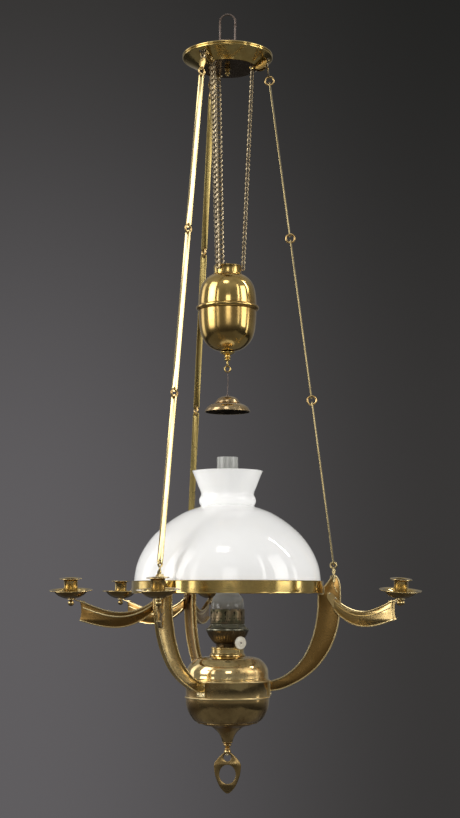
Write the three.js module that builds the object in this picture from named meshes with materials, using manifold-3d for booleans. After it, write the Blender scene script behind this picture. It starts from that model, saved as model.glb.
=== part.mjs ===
// Hanging library lamp: a brass paraffin lamp on three lines of flat rods, balanced by a
// counterweight. Millimetres, +Z up. The origin is the inner top of the iron hanging loop.

import * as THREE from 'three';
import { mergeVertices } from 'three/addons/utils/BufferGeometryUtils.js';
import Module from 'manifold-3d';

const wasm = await Module();
wasm.setup();

// Driving dimensions

const gap = 0.3; // fit between pieces that touch or turn in each other
const overrun = 2; // how far a cutter passes the face that it cuts
const armCount = 3;
const turn = 2 * Math.PI;
const facets = {
  huge: 36, big: 28, mid: 24, small: 18, turned: 12, fine: 12, ring: 10, hole: 8, wire: 6, thin: 5,
};

const finish = {
  brass: { color: 0xc9a24a, metalness: 0.9, roughness: 0.28 },
  paleBrass: { color: 0xe3cf8a, metalness: 0.9, roughness: 0.22 },
  agedBrass: { color: 0xa8823c, metalness: 0.85, roughness: 0.38 },
  coppery: { color: 0xb08a5e, metalness: 0.85, roughness: 0.35 },
  darkBronze: { color: 0x4a3a22, metalness: 0.7, roughness: 0.45 },
  iron: { color: 0x55504c, metalness: 0.7, roughness: 0.55 },
  chain: { color: 0x9a8a68, metalness: 0.8, roughness: 0.45 },
  lead: { color: 0x70757a, metalness: 0.5, roughness: 0.7 },
  nickel: { color: 0xd6d2c6, metalness: 0.85, roughness: 0.25 },
  cotton: { color: 0xd8cfb8, metalness: 0, roughness: 0.95 },
  opal: { color: 0xf4f3f0, metalness: 0, roughness: 0.15 },
  clear: { color: 0xdfe8ea, metalness: 0, roughness: 0.05 },
};

// Hanging loop and its foot plate
const loop = { wire: 4, inside: 26, height: 56 };
const footPlate = { radius: 24, thickness: 3, nutRadius: 8, nutHeight: 7 };

// Canopy pan, below the foot plate
const canopy = {
  rimRadius: 88, belowPlate: 26, depth: 23, floorRadius: 56.7, sheet: 1.4, bead: 2.2, hole: 4.5,
};
const canopyFinial = { stem: 3.6, stemLength: 12, radius: 7, length: 15 };
const canopyFinialShares = [
  [1, 0], [0.96, 0.08], [0.6, 0.12], [0.72, 0.22], [0.48, 0.36], [0.72, 0.5], [0.74, 0.7],
  [0.5, 0.92],
];

// Chain links, folded loop in loop, and the pulleys that carry them
const chain = { width: 11, thickness: 7, pitch: 9.6, waistShare: 0.72 };
const pulley = {
  pitchRadius: 13.5, flange: 1, rimOver: 1.5, fromRim: 25.5, belowRim: 14, pin: 2.2,
};
const fork = { strap: 1.8, height: 9, boss: 2, hub: 8.5, flangeRadius: 16, flangeHeight: 8 };
const slotClear = 0.6;

// Lines of flat rods, from the chains to the arms
const rod = { holeSpacing: 300, width: 11.5, thickness: 3, count: 3, holeClear: 0.75 };
const ring = { wire: 3.6, mean: 16.5 };
const tab = { width: 16, length: 25, thickness: 2, holeInset: 3.6, shoulderShare: 0.35 };
const topRing = { outside: 6, below: 37 };
const hook = { wire: 3.6, loop: 10.6, shank: 13, peg: 8, pegRadius: 2.1 };

// Counterweight
const weight = {
  chainRun: 406, collarRadius: 26.3, collarHeight: 16, collarSheet: 1.6, chainHole: 5,
  bodyRadius: 55.3, upperHeight: 66, lowerHeight: 85, sheet: 1.5, band: 9, bandOut: 5.2,
  neckRadius: 21.7, ballastDrop: 14, chainSeat: 4,
};
const upperShares = [
  [1, 0], [0.995, 0.2], [0.965, 0.44], [0.92, 0.6], [0.85, 0.73], [0.75, 0.845], [0.62, 0.935],
  [0.48, 1],
];
const lowerShares = [
  [1, 0.06], [0.995, 0.2], [0.975, 0.38], [0.94, 0.54], [0.87, 0.68], [0.76, 0.79],
  [0.61, 0.885], [0.42, 0.955], [0.2, 0.99],
];
const weightFinial = {
  radius: 14.5, length: 18, eyeMean: 11, eyeWire: 2.6, spigot: 3.2, spigotLength: 6,
};
const weightFinialShares = [
  [1, 0], [1, 0.1], [0.7, 0.26], [0.34, 0.4], [0.48, 0.52], [0.46, 0.62], [0.28, 0.7],
  [0.42, 0.8], [0.36, 0.92],
];

// Smoke bell, on a thin wire below the counterweight
const bell = {
  rimRadius: 43.6, height: 31, sheet: 1.4, wire: 1.6, wireLength: 44, eyeMean: 4.6, hole: 1.4,
  washer: 3.2,
};
const bellShares = [
  [0.11, 0], [0.28, 0.06], [0.42, 0.17], [0.5, 0.33], [0.56, 0.44], [0.66, 0.52], [0.86, 0.67],
  [0.95, 0.83], [1, 0.96], [1, 1],
];

// Main arms
const arm = {
  apexWidth: 9, hookInset: 4.5, belly: 9.2, shelfDrop: 34, height: 215, web: 4, flange: 9,
  flangeSheet: 2.6, footWidth: 18, footHeight: 25.5, footSheet: 3, waist: 44, footDepth: 19,
};
const armOuterShares = [
  [0.965, 0.026], [0.994, 0.085], [1, 0.18], [0.994, 0.29], [0.974, 0.39], [0.935, 0.5],
  [0.84, 0.64], [0.68, 0.78], [0.5, 0.875], [0.32, 0.94], [0.14, 0.985],
];
const armInnerShares = [
  [1, 0], [0.99, 0.18], [0.955, 0.33], [0.885, 0.49], [0.76, 0.66], [0.6, 0.79],
  [0.42, 0.885], [0.22, 0.955],
];

// Shade ring, carried on the steps of the arms
const shadeRing = {
  shadeClear: 3.4, height: 23, sheet: 2.2, ledge: 14, ledgeDrop: 5, ledgeSheet: 1.8,
};

// Candle arms and holders
const candle = { beyondArm: 126.7, splay: 17 * Math.PI / 180, perArm: 2 };
const candleArm = {
  startInset: 11.3, topDrop: 44, depth: 20, tipDepth: 36, sag: 22, sagShare: 0.85, tipDrop: 2.5,
  footRise: 12, footRun: 14, web: 3, flange: 8, flangeSheet: 2.2, tipShort: 16,
  tailCut: 26, tailBite: 3, eyeRadius: 6, eyeSheet: 2.2, tongue: 5,
};
const stationShares = [0, 0.19, 0.4, 0.66, 1];
const holder = {
  panRadius: 38, panSheet: 1.3, dishRadius: 30.5, dishDepth: 15, panDrop: 28,
  bore: 22.2, nozzleSheet: 1, nozzleHeight: 25, lipRadius: 19.8, lipSheet: 1.2, floorSheet: 2,
  stem: 2, ball: 5.4, floorLift: 7,
};
const panShares = [[0.38, 0.02], [0.7, 0.32], [0.89, 0.64]];

// Font cup under the reservoir, with its tail
const cup = {
  bandRadius: 78, bandHeight: 31.5, bead: 1.4, bowlDepth: 47.5, baseRadius: 55.6, baseRim: 2.2,
  sheet: 1.4, seatDrop: 6, hole: 5, aboveFoot: 1.5,
};
const cupShares = [[0.995, 0.2], [0.97, 0.42], [0.91, 0.66], [0.82, 0.87]];
const tail = {
  topRadius: 28, height: 36, endRadius: 9.3, plateRadius: 48, plateStep: 3, plateDrop: 8,
  firstBead: 8, midBead: 6, lastBead: 6.8, beadPitch: 9.4, midDrop: 7.5, beadShare: 0.5,
  spigot: 4.6, spigotLength: 9,
};
const hornShares = [[1, 0], [0.72, 0.24], [0.54, 0.46], [0.42, 0.7]];

// Pull plate
const pull = {
  width: 50, length: 76, thickness: 3.5, eye: 7.15, eyeBridge: 3, finger: 30.6, fingerHeight: 34.8,
  fingerDrop: 41, pin: 1.8, slotDepth: 3.2,
};
const pullShares = [
  [0.16, 0], [1, 0.276], [1, 0.4], [0.94, 0.56], [0.72, 0.75], [0.5, 0.87], [0.22, 0.97],
];

// Reservoir and burner
const font = {
  radius: 76.3, domeHeight: 44, sheet: 1.4, neckRadius: 36, neckHole: 22, bottomRadius: 28,
};
const domeTopShares = [
  [1, 0.2], [0.995, 0.41], [0.965, 0.56], [0.915, 0.69], [0.84, 0.82], [0.76, 0.91], [0.6, 0.975],
];
const fontBowlShares = [[0.97, 0.35], [0.93, 0.55], [0.85, 0.78], [0.76, 0.88]];
const collar = {
  radius: 33.8, stepRadius: 30.5, height: 17, stepHeight: 8, bevel: 1.2, hole: 14, thread: 5,
};
const burner = {
  neckRadius: 22, rimRadius: 40.6, neckHeight: 6, bowlHeight: 25, coveHeight: 12, coveRadius: 31.6,
  coveHip: 33.2, sheet: 1.6,
};
const bowlShares = [[0.6, 0.04], [0.73, 0.26], [0.865, 0.58], [0.955, 0.88]];
const crown = {
  radius: 32.4, height: 24, sheet: 0.9, teeth: 12, tooth: 7.2, notchShare: 0.5, seat: 3,
};
const wick = { radius: 13.2, sheet: 2, height: 44, travel: 8 };
const knob = {
  radius: 12, thickness: 4.4, reach: 40, shaft: 1.6, boss: 4.8, bossReach: 28, rise: 2.5,
  azimuth: -48 * Math.PI / 180,
};
const knobRib = { radius: 5, proud: 1 };

// Glass
const chimney = {
  tubeRadius: 20.1, bulgeRadius: 31, glass: 1.6, height: 312, bulgeHeight: 60, shoulder: 11,
};
const bulgeShares = [[0.88, 0], [0.92, 0.28], [1, 0.5], [0.98, 0.7], [0.9, 0.87], [0.74, 1]];
const shade = {
  rimRadius: 175, domeHeight: 144, neckRadius: 52.8, neckHeight: 68, waistRadius: 50,
  lipRadius: 67.3, glass: 3, neckBead: 2.2, pinchDrop: 1.8,
};
const domeShares = [
  [1, 0], [1, 0.07], [0.977, 0.236], [0.914, 0.42], [0.806, 0.61], [0.657, 0.778], [0.491, 0.91],
];
const neckShares = [[0, 0.35], [0.34, 0.6], [0.69, 0.83], [1, 1]];
const beadHeightShare = 0.17;
const leanShares = [0, 0.12, 0.25, 0.38, 0.5, 0.62, 0.75];

// Heights that follow from the driving dimensions

const plateTop = -loop.height;
const plateBottom = plateTop - footPlate.thickness;
const rimZ = plateBottom - canopy.belowPlate;
const panFloor = rimZ - canopy.depth;
const pulleyWidth = chain.width + 2 * (gap + pulley.flange);
const pulleyR = canopy.rimRadius - pulley.fromRim;
const pulleyZ = rimZ - pulley.belowRim;
const grooveRadius = pulley.pitchRadius - chain.thickness / 2 - gap;
const pulleyRim = pulley.pitchRadius + pulley.rimOver;
const strapOffset = pulleyWidth / 2 + gap + fork.strap / 2;
const slotHalf = strapOffset + fork.strap / 2 + slotClear;

const chainOutR = pulleyR + pulley.pitchRadius;
const chainInR = pulleyR - pulley.pitchRadius;
const weightTop = pulleyZ - weight.chainRun + weight.chainSeat;
const collarBottom = weightTop - weight.collarHeight;
const bandZ = collarBottom - weight.upperHeight;
const splitZ = bandZ + weight.band / 2 + gap;
const weightBottom = bandZ - weight.lowerHeight;

const lineTopR = chainOutR + topRing.outside;
const lineTopZ = pulleyZ - topRing.below;
const ringPitch = rod.holeSpacing + ring.mean;
const lineLength = rod.count * ringPitch - ring.mean / 2;
const ringRadius = shade.rimRadius + shadeRing.shadeClear + shadeRing.sheet;
const hookR = ringRadius + arm.apexWidth / 2 + hook.loop + hook.wire + gap;
const lineRun = hookR - lineTopR;
const lineDrop = Math.sqrt(lineLength ** 2 - lineRun ** 2);
const lineSlope = Math.atan2(lineRun, lineDrop);
const hookLoopZ = lineTopZ - lineDrop - hook.loop / 2;
const apexZ = hookLoopZ - hook.loop / 2 - hook.shank;

const ringBottom = apexZ - arm.shelfDrop + gap;
const ringTop = ringBottom + shadeRing.height;
const ledgeTop = ringTop - shadeRing.ledgeDrop;
const armOuterR = hookR + arm.belly + arm.apexWidth / 2;
const candleCircle = armOuterR + candle.beyondArm;
const candleStart = armOuterR - candleArm.startInset;
const footZ = apexZ - arm.height;
const bandTop = footZ + arm.footDepth + cup.aboveFoot;
const bandBottom = bandTop - cup.bandHeight;
const cupBase = bandBottom - cup.bowlDepth;
const tailTop = cupBase - tail.plateDrop;
const tailEnd = tailTop - tail.height + tail.plateDrop;
const pinZ = tailEnd - 2 * tail.beadPitch - tail.lastBead / 2;

const fontTop = bandTop + font.domeHeight;
const collarTop = fontTop + collar.height;
const bowlTop = collarTop + burner.neckHeight + burner.bowlHeight;
const coveTop = bowlTop + burner.coveHeight;
const knobZ = collarTop + burner.neckHeight + knob.rise;
const chimneyBottom = coveTop + crown.sheet + 2 * gap;
const shadeBottom = ledgeTop + gap;

const candleZ = apexZ - holder.panDrop;
const nozzleFloor = candleZ - holder.dishDepth + holder.panSheet + holder.floorLift;
const eyeZ = candleZ - holder.dishDepth - gap - candleArm.eyeSheet;

// Shape helpers

/** A mesh with shared vertices and no flat triangles, its faces pointing out. */
function clean(geometry) {
  const bare = new THREE.BufferGeometry();
  bare.setAttribute('position', geometry.getAttribute('position'));
  if (geometry.index) bare.setIndex(geometry.index);
  const merged = mergeVertices(bare, 1e-4);
  const index = [];
  for (let i = 0; i < merged.index.count; i += 3) {
    const [a, b, c] = [0, 1, 2].map((k) => merged.index.getX(i + k));
    if (a !== b && b !== c && c !== a) index.push(a, b, c);
  }
  merged.setIndex(index);
  if (volume(merged) < 0) {
    for (let i = 0; i < index.length; i += 3) [index[i], index[i + 1]] = [index[i + 1], index[i]];
    merged.setIndex(index);
  }
  return merged;
}

/** Six times the volume, negative when the faces point in. */
function volume(geometry) {
  const place = geometry.getAttribute('position');
  const corner = [0, 1, 2].map(() => new THREE.Vector3());
  let sum = 0;
  for (let i = 0; i < geometry.index.count; i += 3) {
    corner.forEach((v, k) => v.fromBufferAttribute(place, geometry.index.getX(i + k)));
    sum += corner[0].dot(corner[1].clone().cross(corner[2]));
  }
  return sum;
}

function toSolid(geometry) {
  const shape = clean(geometry);
  return new wasm.Manifold(new wasm.Mesh({
    numProp: 3,
    vertProperties: Float32Array.from(shape.getAttribute('position').array),
    triVerts: Uint32Array.from(shape.index.array),
  }));
}

function toGeometry(solid) {
  const mesh = solid.getMesh();
  const shape = new THREE.BufferGeometry();
  shape.setAttribute('position', new THREE.BufferAttribute(mesh.vertProperties, 3));
  shape.setIndex(Array.from(mesh.triVerts));
  return shape;
}

function join(...shapes) {
  return toGeometry(shapes.map(toSolid).reduce((all, one) => all.add(one)));
}

function cut(shape, ...cutters) {
  return toGeometry(cutters.map(toSolid).reduce((all, one) => all.subtract(one), toSolid(shape)));
}

/** Turns a closed profile of [radius, height] points about Z. */
function lathe(points, segments) {
  const profile = points.map(([r, z]) => new THREE.Vector2(r, z));
  const onAxis = points[0][0] === 0 && points.at(-1)[0] === 0;
  if (!onAxis) profile.push(profile[0].clone());
  return new THREE.LatheGeometry(profile, segments).rotateX(Math.PI / 2);
}

/** Points on an arc, angles in degrees. */
function arc([x, y], radius, from, to, steps) {
  return Array.from({ length: steps + 1 }, (_, i) => {
    const angle = (from + (to - from) * i / steps) * Math.PI / 180;
    return [x + radius * Math.cos(angle), y + radius * Math.sin(angle)];
  });
}

/** Points on a quarter-like ellipse arc, angles in degrees. */
function bow([x, y], [rx, ry], from, to, steps) {
  return arc([0, 0], 1, from, to, steps).map(([u, v]) => [x + rx * u, y + ry * v]);
}

/** A plate from an outline in X and Z, centred on the XZ plane. */
function plateXZ(points, thickness, holes = []) {
  const outline = new THREE.Shape(points.map(([x, z]) => new THREE.Vector2(x, z)));
  holes.forEach((hole) => {
    outline.holes.push(new THREE.Path(hole.map(([x, z]) => new THREE.Vector2(x, z))));
  });
  const shape = new THREE.ExtrudeGeometry(outline, { depth: thickness, bevelEnabled: false });
  return shape.translate(0, 0, -thickness / 2).rotateX(Math.PI / 2);
}

/** A plate from an outline in Y and Z, centred on the YZ plane. */
function plateYZ(points, thickness, holes = []) {
  return plateXZ(points, thickness, holes).rotateZ(Math.PI / 2);
}

function block(x, y, z, at) {
  return new THREE.BoxGeometry(x, y, z).translate(...at);
}

/** A round bar along Z from one height to another. */
function bar(radius, from, to, sides, at = [0, 0]) {
  const shape = new THREE.CylinderGeometry(radius, radius, Math.abs(to - from), sides);
  return shape.rotateX(Math.PI / 2).translate(at[0], at[1], (from + to) / 2);
}

/** A wire ring in the XZ plane. */
function wireRing(mean, wire, at, around = facets.ring, sides = facets.thin) {
  const shape = new THREE.TorusGeometry(mean / 2, wire / 2, sides, around);
  return shape.rotateX(Math.PI / 2).translate(...at);
}

/** Joins rings of points, all with as many corners, into one closed body. */
function loft(rings, flat) {
  const count = rings[0].length;
  const place = rings.flat().flatMap((p) => [p.x, p.y, p.z]);
  const index = [];
  for (let i = 0; i + 1 < rings.length; i += 1) {
    for (let j = 0; j < count; j += 1) {
      const [a, b] = [i * count + j, i * count + (j + 1) % count];
      index.push(a, b, b + count, a, b + count, a + count);
    }
  }
  const last = (rings.length - 1) * count;
  THREE.ShapeUtils.triangulateShape(flat, []).forEach(([a, b, c]) => {
    index.push(a, c, b, last + a, last + b, last + c);
  });
  const shape = new THREE.BufferGeometry();
  shape.setAttribute('position', new THREE.Float32BufferAttribute(place, 3));
  shape.setIndex(index);
  return shape;
}

/** Every second point of a line, its two ends kept. */
function sparse(points) {
  return points.filter((_, i) => i % 2 === 0 || i === points.length - 1);
}

/** The same open line, moved sideways to its left by a distance. */
function offsetLine(points, distance) {
  return points.map((point, i) => {
    const before = points[Math.max(i - 1, 0)];
    const after = points[Math.min(i + 1, points.length - 1)];
    const [dx, dz] = [after[0] - before[0], after[1] - before[1]];
    const length = Math.hypot(dx, dz);
    return [point[0] - dz / length * distance, point[1] + dx / length * distance];
  });
}

/** An I-section plate: a web between two edge lines, with a flange along each. */
function iSection(outer, inner, sizes) {
  const web = plateXZ([...outer, ...[...inner].reverse()], sizes.web);
  const outerBand = [...outer, ...offsetLine(outer, -sizes.flangeSheet).reverse()];
  const innerBand = [...inner, ...offsetLine(inner, sizes.flangeSheet).reverse()];
  return join(web, plateXZ(outerBand, sizes.flange), plateXZ(innerBand, sizes.flange));
}

const root = new THREE.Group();

function add(name, shape, surface, parent = root) {
  const mesh = new THREE.Mesh(clean(shape), new THREE.MeshStandardMaterial(surface));
  mesh.name = name;
  parent.add(mesh);
  return mesh;
}

/** One group for each arm, turned about Z. */
const armGroups = Array.from({ length: armCount }, (_, i) => {
  const group = new THREE.Group();
  group.rotation.z = i * turn / armCount;
  root.add(group);
  return group;
});

// Hanger and canopy

function hangerLoop() {
  const half = (loop.inside + loop.wire) / 2;
  const crownZ = loop.wire / 2 - half;
  const bend = arc([0, crownZ], half, 180, 0, 8).map(([x, z]) => new THREE.Vector3(x, 0, z));
  const foot = plateTop + gap;
  const points = [new THREE.Vector3(-half, 0, foot), ...bend, new THREE.Vector3(half, 0, foot)];
  const around = arc([0, 0], loop.wire / 2, 0, 315, 7);
  const rings = points.map((p, i) => {
    const before = points[Math.max(i - 1, 0)];
    const after = points[Math.min(i + 1, points.length - 1)];
    const along = after.clone().sub(before).normalize();
    const side = new THREE.Vector3(along.z, 0, -along.x);
    return around.map(([u, v]) => p.clone().addScaledVector(side, u).add(new THREE.Vector3(0, v, 0)));
  });
  add('hanger_loop', loft(rings, around.map(([u, v]) => new THREE.Vector2(u, v))), finish.iron);
}

function hangerPlate() {
  const dome = bow([0, plateTop], [footPlate.nutRadius, footPlate.nutHeight], 0, 90, 3);
  dome[dome.length - 1][0] = 0;
  add('hanger_plate', lathe([
    [0, plateBottom],
    [footPlate.radius, plateBottom],
    [footPlate.radius, plateTop],
    ...dome,
  ], facets.fine), finish.iron);
}

function canopyShell() {
  const beadR = canopy.rimRadius - canopy.bead;
  const wallTop = rimZ - 2 * canopy.bead;
  const insideR = beadR - canopy.bead;
  const shell = lathe([
    [canopy.hole, panFloor],
    [canopy.floorRadius - canopy.sheet, panFloor],
    [canopy.floorRadius, panFloor + canopy.sheet / 2],
    [beadR, wallTop],
    ...arc([beadR, rimZ - canopy.bead], canopy.bead, -60, 45, 1),
    ...arc([beadR, rimZ + canopy.bead], canopy.bead, -45, 45, 1),
    [insideR, rimZ + 2 * canopy.bead],
    [insideR, wallTop + canopy.sheet],
    [canopy.floorRadius - canopy.sheet, panFloor + canopy.sheet],
    [canopy.hole, panFloor + canopy.sheet],
  ], facets.big);
  const from = chainInR - chain.thickness / 2 - overrun;
  const to = chainOutR + chain.thickness / 2 + overrun;
  const [bottom, top] = [panFloor - overrun, rimZ - canopy.bead];
  const slots = armGroups.map((group) => {
    const at = [(from + to) / 2, 0, (bottom + top) / 2];
    return block(to - from, 2 * slotHalf, top - bottom, at).rotateZ(group.rotation.z);
  });
  add('canopy_shell', cut(shell, ...slots), finish.brass);
}

function pulleySpider() {
  const [top, bottom] = [plateBottom - gap, panFloor + canopy.sheet + gap];
  const bore = canopyFinial.stem + gap;
  const boreTop = panFloor + canopyFinial.stemLength + gap;
  const flangeTop = pulleyZ + fork.flangeHeight / 2;
  const hub = lathe([
    [0, top],
    [fork.hub, top],
    [fork.hub, flangeTop],
    [fork.flangeRadius, flangeTop],
    [fork.flangeRadius, flangeTop - fork.flangeHeight],
    [fork.hub, flangeTop - fork.flangeHeight],
    [fork.hub, bottom],
    [bore, bottom],
    [bore, boreTop],
    [0, boreTop],
  ], facets.fine);
  const pieces = armGroups.flatMap((group) => {
    const end = pulleyR - fork.boss;
    const outline = [
      [fork.hub, pulleyZ + fork.flangeHeight / 2],
      [fork.hub, pulleyZ - fork.flangeHeight / 2 + gap],
      [chainInR, pulleyZ - fork.boss],
      ...arc([pulleyR, pulleyZ], fork.boss, -90, 90, 2),
      [end, pulleyZ + fork.boss],
      [chainInR, pulleyZ + fork.height / 2],
    ];
    const straps = [-strapOffset, strapOffset].map((y) => (
      plateXZ(outline, fork.strap).translate(0, y, 0).rotateZ(group.rotation.z)
    ));
    const half = strapOffset + fork.strap / 2;
    const pin = bar(pulley.pin, -half, half, facets.wire).rotateX(Math.PI / 2);
    pin.translate(pulleyR, 0, pulleyZ).rotateZ(group.rotation.z);
    return [...straps, pin];
  });
  add('pulley_spider', join(hub, ...pieces), finish.iron);
}

function canopyFinialPiece() {
  const top = panFloor - gap;
  add('canopy_finial', lathe([
    [0, top + canopyFinial.stemLength],
    [canopyFinial.stem, top + canopyFinial.stemLength],
    [canopyFinial.stem, top],
    ...canopyFinialShares.map(([x, z]) => [canopyFinial.radius * x, top - canopyFinial.length * z]),
    [0, top - canopyFinial.length],
  ], facets.ring), finish.agedBrass);
}

function pulleys() {
  armGroups.forEach((group, i) => {
    const [half, inside] = [pulleyWidth / 2, pulleyWidth / 2 - pulley.flange];
    const wheel = lathe([
      [pulley.pin + gap, -half],
      [pulleyRim, -half],
      [pulleyRim, -inside],
      [grooveRadius, -inside],
      [grooveRadius, inside],
      [pulleyRim, inside],
      [pulleyRim, half],
      [pulley.pin + gap, half],
    ], facets.turned).rotateX(Math.PI / 2).translate(pulleyR, 0, pulleyZ);
    add(`pulley_${i + 1}`, wheel, finish.brass, group);
  });
}

// Chains, and the lines of rods that hang from them

const tabTopR = lineTopR - (ring.mean / 2 + tab.length - tab.holeInset) * Math.sin(lineSlope);
const tabTopZ = lineTopZ + (ring.mean / 2 + tab.length - tab.holeInset) * Math.cos(lineSlope);

function liftChains() {
  const startR = weight.collarRadius + chain.thickness / 2 + gap;
  const startZ = weightTop - weight.chainSeat;
  const route = [
    ...stepped([startR, startZ], [chainInR, pulleyZ], chain.pitch),
    ...arc([pulleyR, pulleyZ], pulley.pitchRadius, 168, 12, 8),
    [chainOutR, pulleyZ],
    [chainOutR, tabTopZ + gap],
  ];
  armGroups.forEach((group, k) => {
    const rings = route.map((point, i) => {
      const before = route[Math.max(i - 1, 0)];
      const after = route[Math.min(i + 1, route.length - 1)];
      const along = new THREE.Vector2(after[0] - before[0], after[1] - before[1]).normalize();
      const share = i % 2 ? chain.waistShare : 1;
      const [thick, wide] = [chain.thickness / 2 * share, chain.width / 2 * share];
      const at = (u, v) => new THREE.Vector3(point[0] + along.y * u, v, point[1] - along.x * u);
      return [at(thick, wide), at(-thick, wide), at(-thick, -wide), at(thick, -wide)];
    });
    const flat = [[1, 1], [-1, 1], [-1, -1], [1, -1]].map(([u, v]) => new THREE.Vector2(u, v));
    add(`lift_chain_${k + 1}`, loft(rings, flat), finish.chain, group);
  });
}

/** Points along a straight line, spaced by about one step, its end left out. */
function stepped(from, to, step) {
  const length = Math.hypot(to[0] - from[0], to[1] - from[1]);
  const count = Math.round(length / step);
  return Array.from({ length: count }, (_, i) => (
    [from[0] + (to[0] - from[0]) * i / count, from[1] + (to[1] - from[1]) * i / count]
  ));
}

function rodLines() {
  const hole = (ring.wire / 2 + rod.holeClear) / Math.cos(Math.PI / 8);
  const half = rod.width / 2;
  armGroups.forEach((group, k) => {
    const line = new THREE.Group();
    line.position.set(lineTopR, 0, lineTopZ);
    line.rotation.y = -lineSlope;
    group.add(line);
    const tabHole = ring.mean / 2;
    const tabFoot = tabHole - tab.holeInset;
    const tabShoulder = tabFoot + tab.length * (1 - tab.shoulderShare);
    const leaf = [
      [-tab.holeInset, tabFoot + gap],
      [tab.holeInset, tabFoot + gap],
      [tab.width / 2, tabShoulder],
      [tab.width / 4, tabFoot + tab.length],
      [-tab.width / 4, tabFoot + tab.length],
      [-tab.width / 2, tabShoulder],
    ];
    const tabEye = arc([0, tabHole], hole, 0, 315, 7);
    add(`chain_tab_${k + 1}`, plateYZ(leaf, tab.thickness, [tabEye]), finish.agedBrass, line);
    for (let j = 0; j < rod.count; j += 1) {
      const ringZ = -j * ringPitch;
      const topHole = ringZ - ring.mean / 2;
      const lowHole = topHole - rod.holeSpacing;
      const outline = [
        ...arc([0, topHole], half, 0, 180, 4),
        ...arc([0, lowHole], half, 180, 360, 4),
      ];
      const strip = plateYZ(outline, rod.thickness, [arc([0, lowHole], hole, 0, 315, 7)]);
      const eye = wireRing(ring.mean, ring.wire, [0, 0, ringZ]);
      add(`rod_${k + 1}_${j + 1}`, join(strip, eye), finish.paleBrass, line);
    }
  });
}

function rodHooks() {
  armGroups.forEach((group, k) => {
    const eye = wireRing(hook.loop, hook.wire, [hookR, 0, hookLoopZ]);
    const shankTop = hookLoopZ - hook.loop / 2;
    const shank = bar(hook.wire / 2, shankTop, apexZ - hook.peg + gap, facets.wire, [hookR, 0]);
    const shoulder = bar(hook.wire, apexZ + gap + hook.wire, apexZ + gap, facets.wire, [hookR, 0]);
    add(`rod_hook_${k + 1}`, join(eye, shank, shoulder), finish.paleBrass, group);
  });
}

// Counterweight

/** Wall points of the counterweight's body, from the foot and from the seam up, moved inwards. */
function weightWall(inset) {
  const shoulder = collarBottom - splitZ;
  const low = [...lowerShares].reverse().map(([x, z]) => (
    [weight.bodyRadius * x - inset, bandZ - (weight.lowerHeight - inset) * z]
  ));
  const high = upperShares.map(([x, z]) => (
    [weight.bodyRadius * x - inset, splitZ + (shoulder - inset) * z]
  ));
  return { low, high };
}

function weightCollar() {
  const w = weight;
  const inner = w.collarRadius - w.collarSheet;
  const wall = lathe([
    [inner, collarBottom + gap],
    [w.collarRadius, collarBottom + gap],
    [w.collarRadius, weightTop - w.collarSheet],
    [w.collarRadius + w.collarSheet / 2, weightTop],
    [inner - w.collarSheet, weightTop],
    [inner, weightTop - w.collarSheet],
  ], facets.small);
  const holes = armGroups.map((group) => (
    bar(w.chainHole / 2, 0, w.collarRadius + overrun, facets.hole).rotateY(Math.PI / 2)
      .translate(0, 0, weightTop - 2 * w.chainSeat).rotateZ(group.rotation.z)
  ));
  add('weight_collar', cut(wall, ...holes), finish.agedBrass);
}

function weightBody() {
  const w = weight;
  const skin = weightWall(0);
  const lining = weightWall(w.sheet);
  add('weight_upper_shell', lathe([
    ...skin.high,
    [w.neckRadius, collarBottom],
    [w.neckRadius, collarBottom - w.sheet],
    ...sparse(lining.high).reverse(),
  ], facets.mid), finish.brass);

  const bandTopZ = bandZ + w.band / 2;
  const hole = weightFinial.spigot + gap;
  add('weight_lower_shell', lathe([
    [hole, weightBottom],
    ...skin.low,
    ...bow([w.bodyRadius, bandZ], [w.bandOut, w.band / 2], -60, 60, 2),
    [w.bodyRadius, bandTopZ],
    [w.bodyRadius - w.sheet, bandTopZ],
    ...sparse(lining.low).reverse(),
    [hole, weightBottom + w.sheet],
  ], facets.mid), finish.brass);

  const packing = weightWall(w.sheet + gap);
  const wall = [...sparse(packing.low), ...sparse(packing.high)];
  const low = weightBottom + w.sheet + gap + weightFinial.spigotLength;
  const top = collarBottom - w.ballastDrop;
  const foot = wall.filter(([, z]) => z < low).at(-1);
  const head = wall.find(([, z]) => z > top);
  add('weight_ballast', lathe([
    [0, low],
    [foot[0], low],
    ...wall.filter(([, z]) => z > low && z < top),
    [head[0], top],
    [0, top],
  ], facets.mid), finish.lead);
}

/** The finial under the counterweight; gives the height where the bell's wire hangs. */
function weightEye() {
  const f = weightFinial;
  const top = weightBottom - gap;
  const turned = lathe([
    [0, top + f.spigotLength],
    [f.spigot, top + f.spigotLength],
    [f.spigot, top],
    ...weightFinialShares.map(([x, z]) => [f.radius * x, top - f.length * z]),
    [0, top - f.length],
  ], facets.fine);
  const upperEye = top - f.length - f.eyeMean / 2 + f.eyeWire / 2;
  const lowerEye = upperEye - f.eyeMean;
  const crossed = wireRing(f.eyeMean, f.eyeWire, [0, 0, upperEye]).rotateZ(Math.PI / 2);
  const hanging = wireRing(f.eyeMean, f.eyeWire, [0, 0, lowerEye]);
  add('weight_finial', join(turned, crossed, hanging), finish.brass);
  return lowerEye - f.eyeMean / 2;
}

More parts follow.
